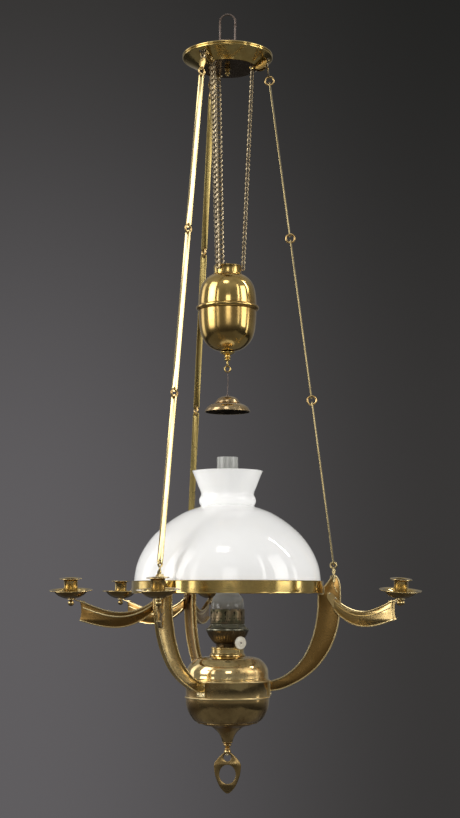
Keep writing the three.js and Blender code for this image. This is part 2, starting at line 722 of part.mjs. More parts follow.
function smokeBell(hangZ) {
  const b = bell;
  const wireEye = hangZ + weightFinial.eyeWire / 2 + gap + b.wire / 2 - b.eyeMean / 2;
  const eyeFoot = wireEye - b.eyeMean / 2;
  const top = eyeFoot - b.wireLength;
  const rim = top - b.height;
  const washerTop = top - b.sheet - gap;
  const eye = wireRing(b.eyeMean, b.wire, [0, 0, wireEye], facets.hole).rotateZ(Math.PI / 2);
  add('bell_wire', join(
    eye,
    bar(b.wire / 2, eyeFoot, washerTop - b.wire / 2, facets.wire),
    bar(b.washer, top + gap, top + gap + b.wire, facets.ring),
    bar(b.washer, washerTop, washerTop - b.wire, facets.ring),
  ), finish.iron);

  const outer = bellShares.map(([x, z]) => [b.rimRadius * x, top - b.height * z]);
  const inner = outer.slice(0, -2).map(([r, z]) => [r - b.sheet, z - b.sheet]);
  add('smoke_bell', lathe([
    [b.hole, top],
    ...outer,
    [b.rimRadius - b.sheet, rim],
    ...inner.reverse(),
    [b.hole, top - b.sheet],
  ], facets.small), finish.coppery);
}

// Arms and shade ring

function armEdges() {
  const depth = apexZ - footZ;
  const [left, right] = [hookR - arm.hookInset, hookR - arm.hookInset + arm.apexWidth];
  const shelf = ringBottom - gap;
  const cupR = cup.bandRadius + gap + arm.footSheet;
  const span = armOuterR - cupR;
  const outer = [
    [right, apexZ],
    ...armOuterShares.map(([x, z]) => [cupR + span * x, apexZ - depth * z]),
    [cupR - arm.footSheet / 2, footZ],
  ];
  const ringFace = ringRadius + gap;
  const innerSpan = ringFace - arm.waist / 4 - cupR;
  const low = footZ + arm.footDepth;
  const run = shelf - low;
  const ogeeEnd = ringBottom + shadeRing.height / 2;
  const inner = [
    [left, apexZ],
    [left - arm.hookInset / 3, apexZ - arm.hookInset],
    [(left + ringFace) / 2, (apexZ + ogeeEnd - arm.hookInset) / 2],
    [ringFace, ogeeEnd],
    [ringFace, shelf],
    ...armInnerShares.map(([x, z]) => [cupR + innerSpan * x, shelf - run * z]),
    [cupR - arm.footSheet / 2, low],
  ];
  return { outer, inner };
}

function mainArms() {
  const { outer, inner } = armEdges();
  const body = iSection(outer, inner, arm);
  const headHeight = hook.peg + arm.flangeSheet;
  const headR = hookR - arm.hookInset + arm.apexWidth / 2;
  const head = block(arm.apexWidth, arm.flange, headHeight, [headR, 0, apexZ - headHeight / 2]);
  const padR = cup.bandRadius + gap + arm.footSheet / 2;
  const padZ = bandTop - 2 * cup.bead - gap - arm.footHeight / 2;
  const pad = block(arm.footSheet, arm.footWidth, arm.footHeight, [padR, 0, padZ]);
  const socket = bar(
    hook.pegRadius + gap, apexZ - hook.peg, apexZ + overrun, facets.hole, [hookR, 0],
  );
  const shape = cut(join(body, head, pad), socket);
  armGroups.forEach((group, k) => add(`main_arm_${k + 1}`, shape, finish.brass, group));
}

function shadeRingPiece() {
  const s = shadeRing;
  const inner = ringRadius - s.sheet;
  const ledgeR = ringRadius - s.ledge;
  add('shade_ring', lathe([
    [ringRadius, ringBottom],
    [ringRadius, ringTop],
    [inner, ringTop],
    [inner, ledgeTop],
    [ledgeR, ledgeTop],
    [ledgeR, ledgeTop - s.ledgeSheet],
    [inner, ledgeTop - s.ledgeSheet],
    [inner, ringBottom],
  ], facets.huge), finish.brass);
}

/** One candle arm, swept aside from the face of its main arm. */
function candleArmShape() {
  const c = candleArm;
  const foot = arm.flange / 2 + gap;
  const tipX = candleCircle * Math.cos(candle.splay);
  const tipY = candleCircle * Math.sin(candle.splay);
  const start = [candleStart, foot + c.flange / 2];
  const run = Math.hypot(tipX - start[0], tipY - start[1]);
  const bearing = Math.atan2(tipY - start[1], tipX - start[0]);
  const length = run - c.tipShort;
  const top = apexZ - c.topDrop;
  const sink = (s) => c.sag * Math.sin(Math.PI * s ** c.sagShare) + c.tipDrop * s;
  const upper = stationShares.map((s) => [length * s, top - sink(s)]);
  const lower = stationShares.map((s) => (
    [length * s, top - sink(s) - c.depth - (c.tipDepth - c.depth) * s]
  ));
  const body = iSection(upper, lower, c);
  const bite = bar(c.tailCut, -c.flange, c.flange, facets.small).rotateX(Math.PI / 2)
    .translate(length + c.tailCut - c.tailBite, 0, upper.at(-1)[1] - c.tipDepth / 2);
  const tip = upper.at(-1);
  const reach = run - holder.stem - c.eyeSheet;
  const tongue = plateXZ([
    [tip[0] - c.tongue, tip[1] - c.flangeSheet],
    [tip[0] - c.tongue, tip[1]],
    [run - c.eyeRadius, eyeZ + c.eyeSheet],
    [reach, eyeZ + c.eyeSheet],
    [reach, eyeZ],
    [run - c.eyeRadius, eyeZ],
  ], c.tongue);
  const eye = bar(c.eyeRadius, eyeZ, eyeZ + c.eyeSheet, facets.fine, [run, 0]);
  const [holeLow, holeTop] = [eyeZ - overrun, eyeZ + c.eyeSheet + overrun];
  const eyeHole = bar(holder.stem + gap, holeLow, holeTop, facets.wire, [run, 0]);
  const swept = cut(join(cut(body, bite), tongue, eye), eyeHole)
    .rotateZ(bearing).translate(start[0], start[1], 0);
  const side = cut(swept, block(candleStart, 2 * foot, arm.height, [candleStart, 0, top]));
  const footPlateSide = plateXZ([
    [candleStart - c.footRun, top + c.footRise],
    [candleStart + c.flange, top - c.flange / 2],
    [candleStart + c.flange, top - c.depth],
    [candleStart, top - c.depth],
    [candleStart - c.footRun, top + c.footRise - c.depth / 2],
  ], c.web).translate(0, foot + c.web / 2, 0);
  return join(side, footPlateSide);
}

function candleArms() {
  const shape = candleArmShape();
  armGroups.forEach((group, k) => {
    [1, -1].forEach((hand, j) => {
      const copy = hand > 0 ? shape.clone() : shape.clone().scale(1, -1, 1);
      add(`candle_arm_${k * candle.perArm + j + 1}`, copy, finish.brass, group);
    });
  });
}

function candleHolders() {
  const h = holder;
  const under = candleZ - h.dishDepth;
  const boreR = h.bore / 2;
  const wallR = boreR + h.nozzleSheet;
  const floorTop = nozzleFloor + h.floorSheet;
  const lipTop = floorTop + h.nozzleHeight;
  const ballZ = eyeZ - gap - h.ball;
  const low = panShares.map(([x, z]) => [h.dishRadius * x, under + h.dishDepth * z]);
  const lining = low.slice(1).map(([r, z]) => [r - h.panSheet, z + h.panSheet]).reverse();
  const shape = lathe([
    [0, ballZ - h.ball],
    ...arc([0, ballZ], h.ball, -40, 40, 1),
    [h.stem, ballZ + h.ball],
    [h.stem, under],
    ...low,
    [h.dishRadius, candleZ - h.panSheet * 2],
    [h.panRadius, candleZ - h.panSheet],
    [h.panRadius, candleZ],
    [h.dishRadius - h.panSheet, candleZ - h.panSheet],
    ...lining,
    [wallR, under + h.panSheet * 2],
    [wallR, lipTop - h.lipSheet],
    [h.lipRadius, lipTop - h.lipSheet / 2],
    [h.lipRadius, lipTop],
    [boreR, lipTop],
    [boreR, floorTop],
    [0, floorTop],
  ], facets.ring);
  armGroups.forEach((group, k) => {
    [1, -1].forEach((hand, j) => {
      const seat = new THREE.Group();
      seat.rotation.z = hand * candle.splay;
      group.add(seat);
      const copy = shape.clone().translate(candleCircle, 0, 0);
      add(`candle_holder_${k * candle.perArm + j + 1}`, copy, finish.brass, seat);
    });
  });
}

// Font cup, tail and pull plate

function fontCup() {
  const c = cup;
  const inR = c.bandRadius - c.sheet;
  const outside = cupShares.map(([x, z]) => [c.bandRadius * x, bandBottom - c.bowlDepth * z]);
  const inside = outside.map(([r, z]) => [r - c.sheet, z]).filter((_, i) => i % 2);
  add('font_cup', lathe([
    [c.hole, cupBase],
    [c.baseRadius + c.bead, cupBase],
    [c.baseRadius + c.bead, cupBase + c.baseRim],
    ...outside.reverse(),
    [c.bandRadius, bandBottom - c.bead],
    ...arc([c.bandRadius, bandBottom], c.bead, -40, 40, 1),
    [c.bandRadius, bandBottom + c.bead],
    [c.bandRadius, bandTop - c.bead * 2],
    [c.bandRadius + c.bead, bandTop - c.bead],
    [c.bandRadius + c.bead / 2, bandTop],
    [inR, bandTop],
    [inR, bandBottom],
    ...inside,
    [c.baseRadius - c.sheet, cupBase + c.sheet],
    [c.hole, cupBase + c.sheet],
  ], facets.mid), finish.brass);
}

function cupFinial() {
  const t = tail;
  const top = cupBase - gap;
  const drop = tailTop - tailEnd;
  const firstZ = tailEnd - t.firstBead / 2;
  const midZ = firstZ - t.midDrop;
  const lastZ = pinZ + pull.eyeBridge + pull.pin;
  const turned = lathe([
    [0, top + t.spigotLength],
    [t.spigot, top + t.spigotLength],
    [t.spigot, top],
    [t.plateRadius, top],
    [t.plateRadius - t.plateStep, top - t.plateStep],
    ...hornShares.map(([x, z]) => [t.topRadius * x, tailTop - drop * z]),
    [t.endRadius, tailEnd],
    ...bow([0, firstZ], [t.firstBead, t.firstBead * t.beadShare], 30, -50, 2),
    ...bow([0, midZ], [t.midBead, t.midBead * t.beadShare], 50, -50, 2),
    ...arc([0, lastZ], t.lastBead, 50, -60, 3),
    [0, lastZ - t.lastBead],
  ], facets.turned);
  const slotTop = pinZ + pull.pin + gap + pull.eyeBridge + pull.slotDepth;
  const slotLow = pinZ - 2 * t.lastBead;
  const slot = block(2 * t.topRadius, pull.thickness + 2 * gap, slotTop - slotLow,
    [0, 0, (slotTop + slotLow) / 2]);
  const half = t.lastBead - pull.pin / 2;
  const pin = bar(pull.pin, -half, half, facets.hole).rotateX(Math.PI / 2).translate(0, 0, pinZ);
  add('cup_finial', join(cut(turned, slot), pin), finish.brass);
}

function pullPlate() {
  const p = pull;
  const top = pinZ + p.pin + gap + p.eyeBridge;
  const eyeCentre = pinZ + p.pin + gap - p.eye;
  const fingerCentre = top - p.fingerDrop;
  const right = pullShares.map(([x, z]) => [p.width / 2 * x, top - p.length * z]);
  const left = [...right].reverse().map(([x, z]) => [-x, z]);
  const eye = arc([0, eyeCentre], p.eye, 0, 330, 11);
  const finger = bow([0, fingerCentre], [p.finger / 2, p.fingerHeight / 2], 0, 342, 19);
  const outline = [...right, [0, top - p.length], ...left];
  add('pull_plate', plateXZ(outline, p.thickness, [eye, finger]), finish.agedBrass);
}

// Reservoir and burner

function reservoir() {
  const f = font;
  const lowR = cup.bandRadius - cup.sheet - gap;
  const inR = lowR - f.sheet;
  const seam = cup.bandRadius + cup.bead / 2;
  const low = cupBase + tail.spigotLength + gap;
  const bowlZ = (z) => bandBottom - cup.bowlDepth * z + cup.sheet + gap * 2;
  const under = fontBowlShares.map(([x, z]) => [lowR * x - gap, bowlZ(z)]).reverse();
  const dome = domeTopShares.map(([x, z]) => [f.radius * x, bandTop + f.domeHeight * z]);
  const lining = sparse(dome).map(([r, z]) => [r - f.sheet, z - f.sheet]).reverse();
  add('reservoir', lathe([
    [0, low],
    [f.bottomRadius, low],
    ...under,
    [lowR, bandBottom],
    [lowR, bandTop + gap],
    [seam, bandTop + gap],
    [seam, bandTop + gap + cup.bead],
    ...dome,
    [f.neckRadius, fontTop],
    [f.neckHole, fontTop],
    [f.neckHole, fontTop - f.sheet],
    ...lining,
    [inR, bandTop],
    [inR, bandBottom],
    ...sparse(under).map(([r, z]) => [r - f.sheet, z + f.sheet]).reverse(),
    [0, low + f.sheet],
  ], facets.mid), finish.brass);
}

function burnerCollar() {
  const c = collar;
  const bottom = fontTop + gap;
  const threadR = font.neckHole - gap;
  add('burner_collar', lathe([
    [c.hole, bottom - c.thread],
    [threadR, bottom - c.thread],
    [threadR, bottom],
    [c.radius, bottom],
    [c.radius, bottom + c.stepHeight],
    [c.stepRadius, bottom + c.stepHeight + c.bevel],
    [c.stepRadius, collarTop],
    [c.hole, collarTop],
  ], facets.small), finish.brass);
}

function burnerBody() {
  const b = burner;
  const start = collarTop + gap;
  const neckTop = start + b.neckHeight;
  const rise = bowlTop - neckTop;
  const tubeIn = wick.radius + gap;
  const tubeOut = tubeIn + b.sheet;
  const outside = bowlShares.map(([x, z]) => [b.rimRadius * x, neckTop + rise * z]);
  const lining = outside.map(([r, z]) => [r - b.sheet, z + b.sheet]).slice(1).reverse();
  const body = lathe([
    [tubeIn, start],
    [b.neckRadius, start],
    ...outside,
    [b.rimRadius, bowlTop - b.sheet],
    [b.rimRadius, bowlTop],
    [b.coveHip, bowlTop + b.coveHeight / 2],
    [b.coveRadius, coveTop],
    [tubeOut, coveTop],
    [tubeOut, coveTop - b.sheet],
    [b.coveRadius - b.sheet, coveTop - b.sheet],
    [b.coveHip - b.sheet, bowlTop + b.sheet],
    ...lining,
    [tubeOut, neckTop + b.sheet],
    [tubeIn, neckTop + b.sheet],
  ], facets.small);
  const boss = bar(knob.boss, wick.radius + gap * 2, knob.bossReach, facets.ring)
    .rotateY(Math.PI / 2).translate(0, 0, knobZ).rotateZ(knob.azimuth);
  const bore = bar(knob.shaft + gap, 0, knob.reach, facets.hole)
    .rotateY(Math.PI / 2).translate(0, 0, knobZ).rotateZ(knob.azimuth);
  const core = bar(tubeIn, start - overrun, coveTop + overrun, facets.small);
  add('burner_body', cut(join(body, boss), bore, core), finish.darkBronze);
}

function burnerCrown() {
  const w = crown;
  const low = coveTop + gap;
  const inner = w.radius - w.sheet;
  const seatR = wick.radius + w.seat;
  const wall = lathe([
    [w.radius, low],
    [w.radius, low + w.height],
    [inner, low + w.height],
    [inner, low + w.sheet],
    [seatR, low + w.sheet],
    [seatR, low],
  ], 2 * w.teeth);
  const step = turn / w.teeth;
  const notchHalf = w.radius * Math.sin(step / 2) * w.notchShare;
  const notches = Array.from({ length: w.teeth }, (_, i) => {
    const face = new THREE.Shape([
      new THREE.Vector2(-notchHalf, low + w.height + overrun),
      new THREE.Vector2(0, low + w.height - w.tooth),
      new THREE.Vector2(notchHalf, low + w.height + overrun),
    ]);
    const wedge = new THREE.ExtrudeGeometry(face, { depth: w.radius + overrun, bevelEnabled: false });
    return wedge.rotateX(Math.PI / 2).rotateZ(i * step + step / 2);
  });
  add('burner_crown', cut(wall, ...notches), finish.darkBronze);
}

function wickAndKnob() {
  const wickTop = coveTop + crown.sheet + crown.seat;
  add('wick', lathe([
    [wick.radius, wickTop - wick.height],
    [wick.radius, wickTop],
    [wick.radius - wick.sheet, wickTop],
    [wick.radius - wick.sheet, wickTop - wick.height],
  ], facets.small), finish.cotton);

  const k = knob;
  const face = k.reach + k.thickness;
  const disc = lathe([
    [0, face],
    [knobRib.radius, face],
    [knobRib.radius + knobRib.proud, face - knobRib.proud],
    [k.radius - knobRib.proud, face - knobRib.proud],
    [k.radius, k.reach + k.thickness / 2],
    [k.radius, k.reach],
    [k.shaft, k.reach],
    [k.shaft, wick.radius + gap * 2],
    [0, wick.radius + gap * 2],
  ], facets.turned);
  disc.rotateY(Math.PI / 2).translate(0, 0, knobZ).rotateZ(k.azimuth);
  add('wick_knob', disc, finish.nickel);
}

// Glass

function chimneyGlass() {
  const c = chimney;
  const outside = [
    ...bulgeShares.map(([x, z]) => [c.bulgeRadius * x, chimneyBottom + c.bulgeHeight * z]),
    [c.tubeRadius, chimneyBottom + c.bulgeHeight + c.shoulder],
    [c.tubeRadius, chimneyBottom + c.height],
  ];
  const inside = outside.map(([r, z]) => [r - c.glass, z]).reverse();
  add('chimney', lathe([...outside, ...inside], facets.small), finish.clear);
}

function shadeGlass() {
  const s = shade;
  const neckZ = shadeBottom + s.domeHeight;
  const flare = s.lipRadius - s.waistRadius;
  const dome = domeShares.map(([x, z]) => [s.rimRadius * x, shadeBottom + s.domeHeight * z]);
  const neck = [
    [s.neckRadius, neckZ],
    [s.waistRadius - gap, neckZ + s.pinchDrop],
    [s.neckRadius + s.neckBead / 2, neckZ + s.neckHeight * beadHeightShare],
    ...neckShares.map(([x, z]) => [s.waistRadius + flare * x, neckZ + s.neckHeight * z]),
  ];
  const thinDome = dome.map(([r, z], i) => {
    const lean = leanShares[i];
    return [r - s.glass * (1 - lean / 2), z - s.glass * lean];
  });
  const thinNeck = [
    [s.waistRadius - s.glass, neckZ - s.glass],
    ...neckShares.map(([x, z]) => [s.waistRadius + flare * x - s.glass, neckZ + s.neckHeight * z]),
  ];
  const inside = [...sparse(thinDome), ...thinNeck].reverse();
  add('shade', lathe([...dome, ...neck, ...inside], facets.big), finish.opal);
}

hangerLoop();
hangerPlate();
canopyShell();
pulleySpider();
canopyFinialPiece();
pulleys();
liftChains();
rodLines();
rodHooks();
weightCollar();
weightBody();
smokeBell(weightEye());
mainArms();
shadeRingPiece();
candleArms();
candleHolders();
fontCup();
cupFinial();
pullPlate();
reservoir();
burnerCollar();
burnerBody();
burnerCrown();
wickAndKnob();
chimneyGlass();
shadeGlass();

export default root;
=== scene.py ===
"""Looks of the hanging library lamp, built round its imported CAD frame.

Shapes are drawn in millimetres, +Z up, with the origin at the inner top of the hanging loop,
and become metres when a piece is made.
"""

from __future__ import annotations

import json
import logging
from dataclasses import dataclass
from enum import Enum
from functools import cache
from itertools import product
from math import acos, asin, atan2, cos, degrees, hypot, pi, radians, sin, sqrt, tan
from typing import Sequence

import bmesh
import bpy
import numpy as np
from bpy.types import Material, Mesh, Node, NodeSocket, NodeTree, Object
from mathutils import Matrix, Vector

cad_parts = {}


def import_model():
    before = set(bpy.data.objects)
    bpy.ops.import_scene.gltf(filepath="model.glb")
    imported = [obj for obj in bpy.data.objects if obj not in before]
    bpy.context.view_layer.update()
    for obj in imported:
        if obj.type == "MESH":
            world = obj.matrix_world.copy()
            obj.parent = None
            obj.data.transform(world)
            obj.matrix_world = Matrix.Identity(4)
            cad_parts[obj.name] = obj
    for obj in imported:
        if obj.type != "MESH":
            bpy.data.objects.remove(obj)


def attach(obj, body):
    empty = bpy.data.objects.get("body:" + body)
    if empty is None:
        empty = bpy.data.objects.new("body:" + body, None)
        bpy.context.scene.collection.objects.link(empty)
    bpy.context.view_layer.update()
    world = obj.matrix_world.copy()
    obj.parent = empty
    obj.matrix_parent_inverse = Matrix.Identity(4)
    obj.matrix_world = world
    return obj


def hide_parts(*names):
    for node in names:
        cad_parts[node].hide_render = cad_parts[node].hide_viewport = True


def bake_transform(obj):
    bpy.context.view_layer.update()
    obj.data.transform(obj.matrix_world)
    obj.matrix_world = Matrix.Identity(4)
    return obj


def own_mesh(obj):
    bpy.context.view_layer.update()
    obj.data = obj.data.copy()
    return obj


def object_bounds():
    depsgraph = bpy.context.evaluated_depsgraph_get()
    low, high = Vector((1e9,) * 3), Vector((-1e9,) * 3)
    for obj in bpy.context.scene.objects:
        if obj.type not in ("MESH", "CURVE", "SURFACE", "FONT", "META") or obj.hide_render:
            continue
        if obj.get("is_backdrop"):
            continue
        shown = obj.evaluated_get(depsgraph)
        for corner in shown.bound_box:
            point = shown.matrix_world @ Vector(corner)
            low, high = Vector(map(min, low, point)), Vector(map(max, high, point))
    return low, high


LOG = logging.getLogger("library_lamp")

MM = 0.001
ARM_ANGLES = (0.0, 120.0, 240.0)
GAP = 0.3
MERGE = 2e-6
SHARP = 38.0

Point2 = tuple[float, float]
Colour = tuple[float, float, float]
Shares = Steps = tuple[Point2, ...]


class Body(str, Enum):
    """The moving bodies of the lamp, by their names in the record."""

    CANOPY = "canopy"
    LAMP = "lamp_frame"
    WEIGHT = "counterweight"
    BELL = "bell"
    PULL = "pull"
    SHADE = "shade"
    FONT = "font"
    CHIMNEY = "chimney"
    KNOB = "knob"
    WICK = "wick"


PULLEY_BODIES = ("pulley_a", "pulley_b", "pulley_c")


# Drawing


class Draft:
    """A mesh being drawn: points in millimetres, faces and the finish number of each face."""

    def __init__(self, points: Sequence[Sequence[float]] = (), faces: Sequence[Sequence[int]] = ()) -> None:
        """Starts from points and faces, all of finish number 0."""
        self.points = np.array(points, float).reshape(-1, 3)
        self.faces = [tuple(face) for face in faces]
        self.marks = [0] * len(self.faces)

    def marked(self, number: int) -> Draft:
        """Gives every face the same finish number."""
        self.marks = [number] * len(self.faces)
        return self

    def copy(self) -> Draft:
        """A separate draft with the same shape."""
        result = Draft(self.points.copy(), self.faces)
        result.marks = list(self.marks)
        return result

    def with_(self, *others: Draft) -> Draft:
        """This draft and others as one.

        Args:
            others: The drafts to add.

        Returns:
            A new draft that holds them all.
        """
        result = self.copy()
        for other in others:
            shift = len(result.points)
            result.points = np.vstack([result.points, other.points])
            result.faces += [tuple(i + shift for i in face) for face in other.faces]
            result.marks += other.marks
        return result

    def placed(self, matrix: Matrix) -> Draft:
        """A copy moved by a 4x4 matrix in millimetres."""
        result = self.copy()
        grid = np.array(matrix, float)
        result.points = result.points @ grid[:3, :3].T + grid[:3, 3]
        return result

    def moved(self, x: float = 0.0, y: float = 0.0, z: float = 0.0) -> Draft:
        """A copy moved by a distance along each axis."""
        return self.placed(Matrix.Translation((x, y, z)))

    def turned(self, angle: float, axis: str = "Z") -> Draft:
        """A copy turned about an axis through the origin."""
        return self.placed(Matrix.Rotation(radians(angle), 4, axis))

    def marked_between(self, low: float, high: float, number: int) -> Draft:
        """Gives the faces whose points all lie between two heights a finish number."""
        heights = self.points[:, 2]
        for place, face in enumerate(self.faces):
            if all(low <= heights[i] <= high for i in face):
                self.marks[place] = number
        return self

    def marked_under(self, number: int, tilt: float = 0.35) -> Draft:
        """Gives the faces of a closed draft that look down a finish number."""
        faces = [self.points[list(face)] for face in self.faces]
        normals = [np.cross(ring, np.roll(ring, -1, axis=0)).sum(axis=0) for ring in faces]
        lowest = min(range(len(faces)), key=lambda place: faces[place][:, 2].mean())
        outwards = -np.sign(normals[lowest][2])
        for place, normal in enumerate(normals):
            if outwards * normal[2] < -tilt * np.linalg.norm(normal):
                self.marks[place] = number
        return self

    def mirrored(self) -> Draft:
        """A copy mirrored in the XZ plane, its faces turned round."""
        result = self.copy()
        result.points[:, 1] *= -1
        result.faces = [tuple(reversed(face)) for face in result.faces]
        return result


def arc(centre: Point2, radius: float, start: float, stop: float, steps: int = 8) -> list[Point2]:
    """Points on an arc, its angles in degrees."""
    turns = [radians(start + (stop - start) * i / steps) for i in range(steps + 1)]
    return [(centre[0] + radius * cos(t), centre[1] + radius * sin(t)) for t in turns]


def oval(centre: Point2, radii: Point2, start: float, stop: float, steps: int = 8) -> list[Point2]:
    """Points on an elliptic arc, its angles in degrees."""
    unit = arc((0.0, 0.0), 1.0, start, stop, steps)
    return [(centre[0] + radii[0] * u, centre[1] + radii[1] * v) for u, v in unit]


def near(r: float, z: float, steps: Steps) -> list[Point2]:
    """Points at small steps from one place."""
    return [(r + across, z + up) for across, up in steps]


def flowing(points: Sequence[Point2], steps: int = 6, closed: bool = False) -> list[Point2]:
    """A smooth line through points.

    Args:
        points: The points that the line passes.
        steps: How many stretches lie between two points.
        closed: Whether the last point joins the first.

    Returns:
        The points of the smooth line.
    """
    line = np.array(points, float)
    count = len(line)
    result: list[Point2] = []
    for i in range(count if closed else count - 1):
        if closed:
            a, b, c, d = (line[(i + k) % count] for k in (-1, 0, 1, 2))
        else:
            b, c = line[i], line[i + 1]
            a = line[i - 1] if i else 2 * b - c
            d = line[i + 2] if i + 2 < count else 2 * c - b
        for k in range(steps):
            t = k / steps
            p = 0.5 * (2 * b + (c - a) * t + (2 * a - 5 * b + 4 * c - d) * t * t
                + (3 * b - a - 3 * c + d) * t ** 3)
            result.append((float(p[0]), float(p[1])))
    if not closed:
        result.append((float(line[-1][0]), float(line[-1][1])))
    return result


def softened(points: Sequence[Point2], radius: float = 0.5, closed: bool = True,
        least_turn: float = 14.0) -> list[Point2]:
    """Rounds the sharp corners of a line and adds a support point on each side of them.

    Args:
        points: The line.
        radius: The radius at a corner, where there is room.
        closed: Whether the last point joins the first.
        least_turn: Corners that turn by less, in degrees, stay as they are.

    Returns:
        The points of the softened line.
    """
    line = [np.array(p, float) for p in points]
    count = len(line)
    result: list[np.ndarray] = []
    for i, corner in enumerate(line):
        if not closed and i in (0, count - 1):
            result.append(corner)
            continue
        back, ahead = line[i - 1] - corner, line[(i + 1) % count] - corner
        long_back, long_ahead = np.linalg.norm(back), np.linalg.norm(ahead)
        if min(long_back, long_ahead) < 1e-9:
            continue
        back, ahead = back / long_back, ahead / long_ahead
        inner = acos(float(np.clip(back @ ahead, -1, 1)))
        if degrees(pi - inner) < least_turn:
            result.append(corner)
            continue
        reach = min(radius / tan(inner / 2), 0.3 * long_back, 0.3 * long_ahead)
        result.append(corner + back * reach * 1.5)
        for t in (0.0, 0.33, 0.67, 1.0):
            result.append(corner + back * reach * (1 - t) ** 2 + ahead * reach * t ** 2)
        result.append(corner + ahead * reach * 1.5)
    return [(float(p[0]), float(p[1])) for p in result]


def lathed(profile: Sequence[Point2], segments: int = 96) -> Draft:
    """A closed body turned about Z.

    Args:
        profile: Radius and height of each point, from axis to axis or closing on itself.
        segments: How many flat strips go round.

    Returns:
        The draft of the body.
    """
    open_line = profile[0][0] < 1e-6 and profile[-1][0] < 1e-6
    turns = np.arange(segments) * 2 * pi / segments
    points: list[tuple[float, float, float]] = []
    rings: list[list[int]] = []
    for radius, height in profile:
        if radius < 1e-6:
            rings.append([len(points)] * segments)
            points.append((0.0, 0.0, height))
            continue
        rings.append(list(range(len(points), len(points) + segments)))
        points += [(radius * cos(t), radius * sin(t), height) for t in turns]
    faces = []
    pairs = zip(rings, rings[1:] + ([] if open_line else rings[:1]))
    for low, high in pairs:
        for j in range(segments):
            k = (j + 1) % segments
            face = tuple(dict.fromkeys((low[j], low[k], high[k], high[j])))
            if len(face) > 2:
                faces.append(face)
    return Draft(points, faces)


def swept(path: Sequence[Sequence[float]], sections: np.ndarray, side: Sequence[float],
        closed: bool = False) -> Draft:
    """A section carried along a path.

    Args:
        path: The points of the path.
        sections: One outline of (across, outward) points, or one for each point of the path.
        side: The direction of the section's first axis at the start.
        closed: Whether the path closes on itself.

    Returns:
        The draft of the swept body.
    """
    line = np.array(path, float)
    count = len(line)
    outlines = np.array(sections, float)
    if outlines.ndim == 2:
        outlines = np.repeat(outlines[None], count, axis=0)
    corners = outlines.shape[1]
    across = np.array(side, float)
    points, faces = [], []
    for i, point in enumerate(line):
        before = line[i - 1] if i or closed else line[i]
        after = line[(i + 1) % count] if i + 1 < count or closed else line[i]
        along = (after - before) / np.linalg.norm(after - before)
        across = across - (across @ along) * along
        across = across / np.linalg.norm(across)
        outward = np.cross(along, across)
        points += [point + u * across + v * outward for u, v in outlines[i]]
    for i in range(count if closed else count - 1):
        here, there = i * corners, (i + 1) % count * corners
        for j in range(corners):
            k = (j + 1) % corners
            faces.append((here + j, here + k, there + k, there + j))
    if not closed:
        faces.append(tuple(reversed(range(corners))))
        faces.append(tuple(range((count - 1) * corners, count * corners)))
    return Draft(points, faces)


def circle(radius: float, sides: int = 12) -> np.ndarray:
    """A round section."""
    return np.array(arc((0.0, 0.0), radius, 0, 360 - 360 / sides, sides - 1))


def torus(mean: float, wire: float, around: int = 48, sides: int = 12) -> Draft:
    """A wire ring in the XZ plane, mean being its middle diameter."""
    path = [(x, 0.0, z) for x, z in arc((0.0, 0.0), mean / 2, 0, 360 - 360 / around, around - 1)]
    return swept(path, circle(wire / 2, sides), (0, 1, 0), closed=True)


def plate(outline: Sequence[Point2], thickness: float, bevel: float,
        holes: Sequence[Sequence[Point2]] = ()) -> Draft:
    """A flat plate in the XZ plane with bevelled edges.

    Args:
        outline: Its outer edge, in X and Z.
        thickness: Its full thickness, across Y.
        bevel: The width of the bevel on every edge.
        holes: The edges of its holes.

    Returns:
        The draft of the plate.
    """
    data = bpy.data.curves.new("plate_outline", "CURVE")
    data.dimensions = "2D"
    data.fill_mode = "BOTH"
    data.extrude = thickness / 2 - bevel
    data.bevel_depth = bevel
    data.bevel_resolution = 1
    data.offset = -bevel
    for edge in (outline, *holes):
        spline = data.splines.new("POLY")
        spline.points.add(len(edge) - 1)
        for point, (x, z) in zip(spline.points, edge):
            point.co = (x, z, 0.0, 1.0)
        spline.use_cyclic_u = True
    drawn = bpy.data.objects.new("plate_outline", data)
    mesh = drawn.to_mesh()
    points = [(v.co.x, v.co.z, v.co.y) for v in mesh.vertices]
    faces = [tuple(face.vertices) for face in mesh.polygons]
    drawn.to_mesh_clear()
    bpy.data.objects.remove(drawn)
    bpy.data.curves.remove(data)
    return Draft(points, faces)


# Shader groups and finishes


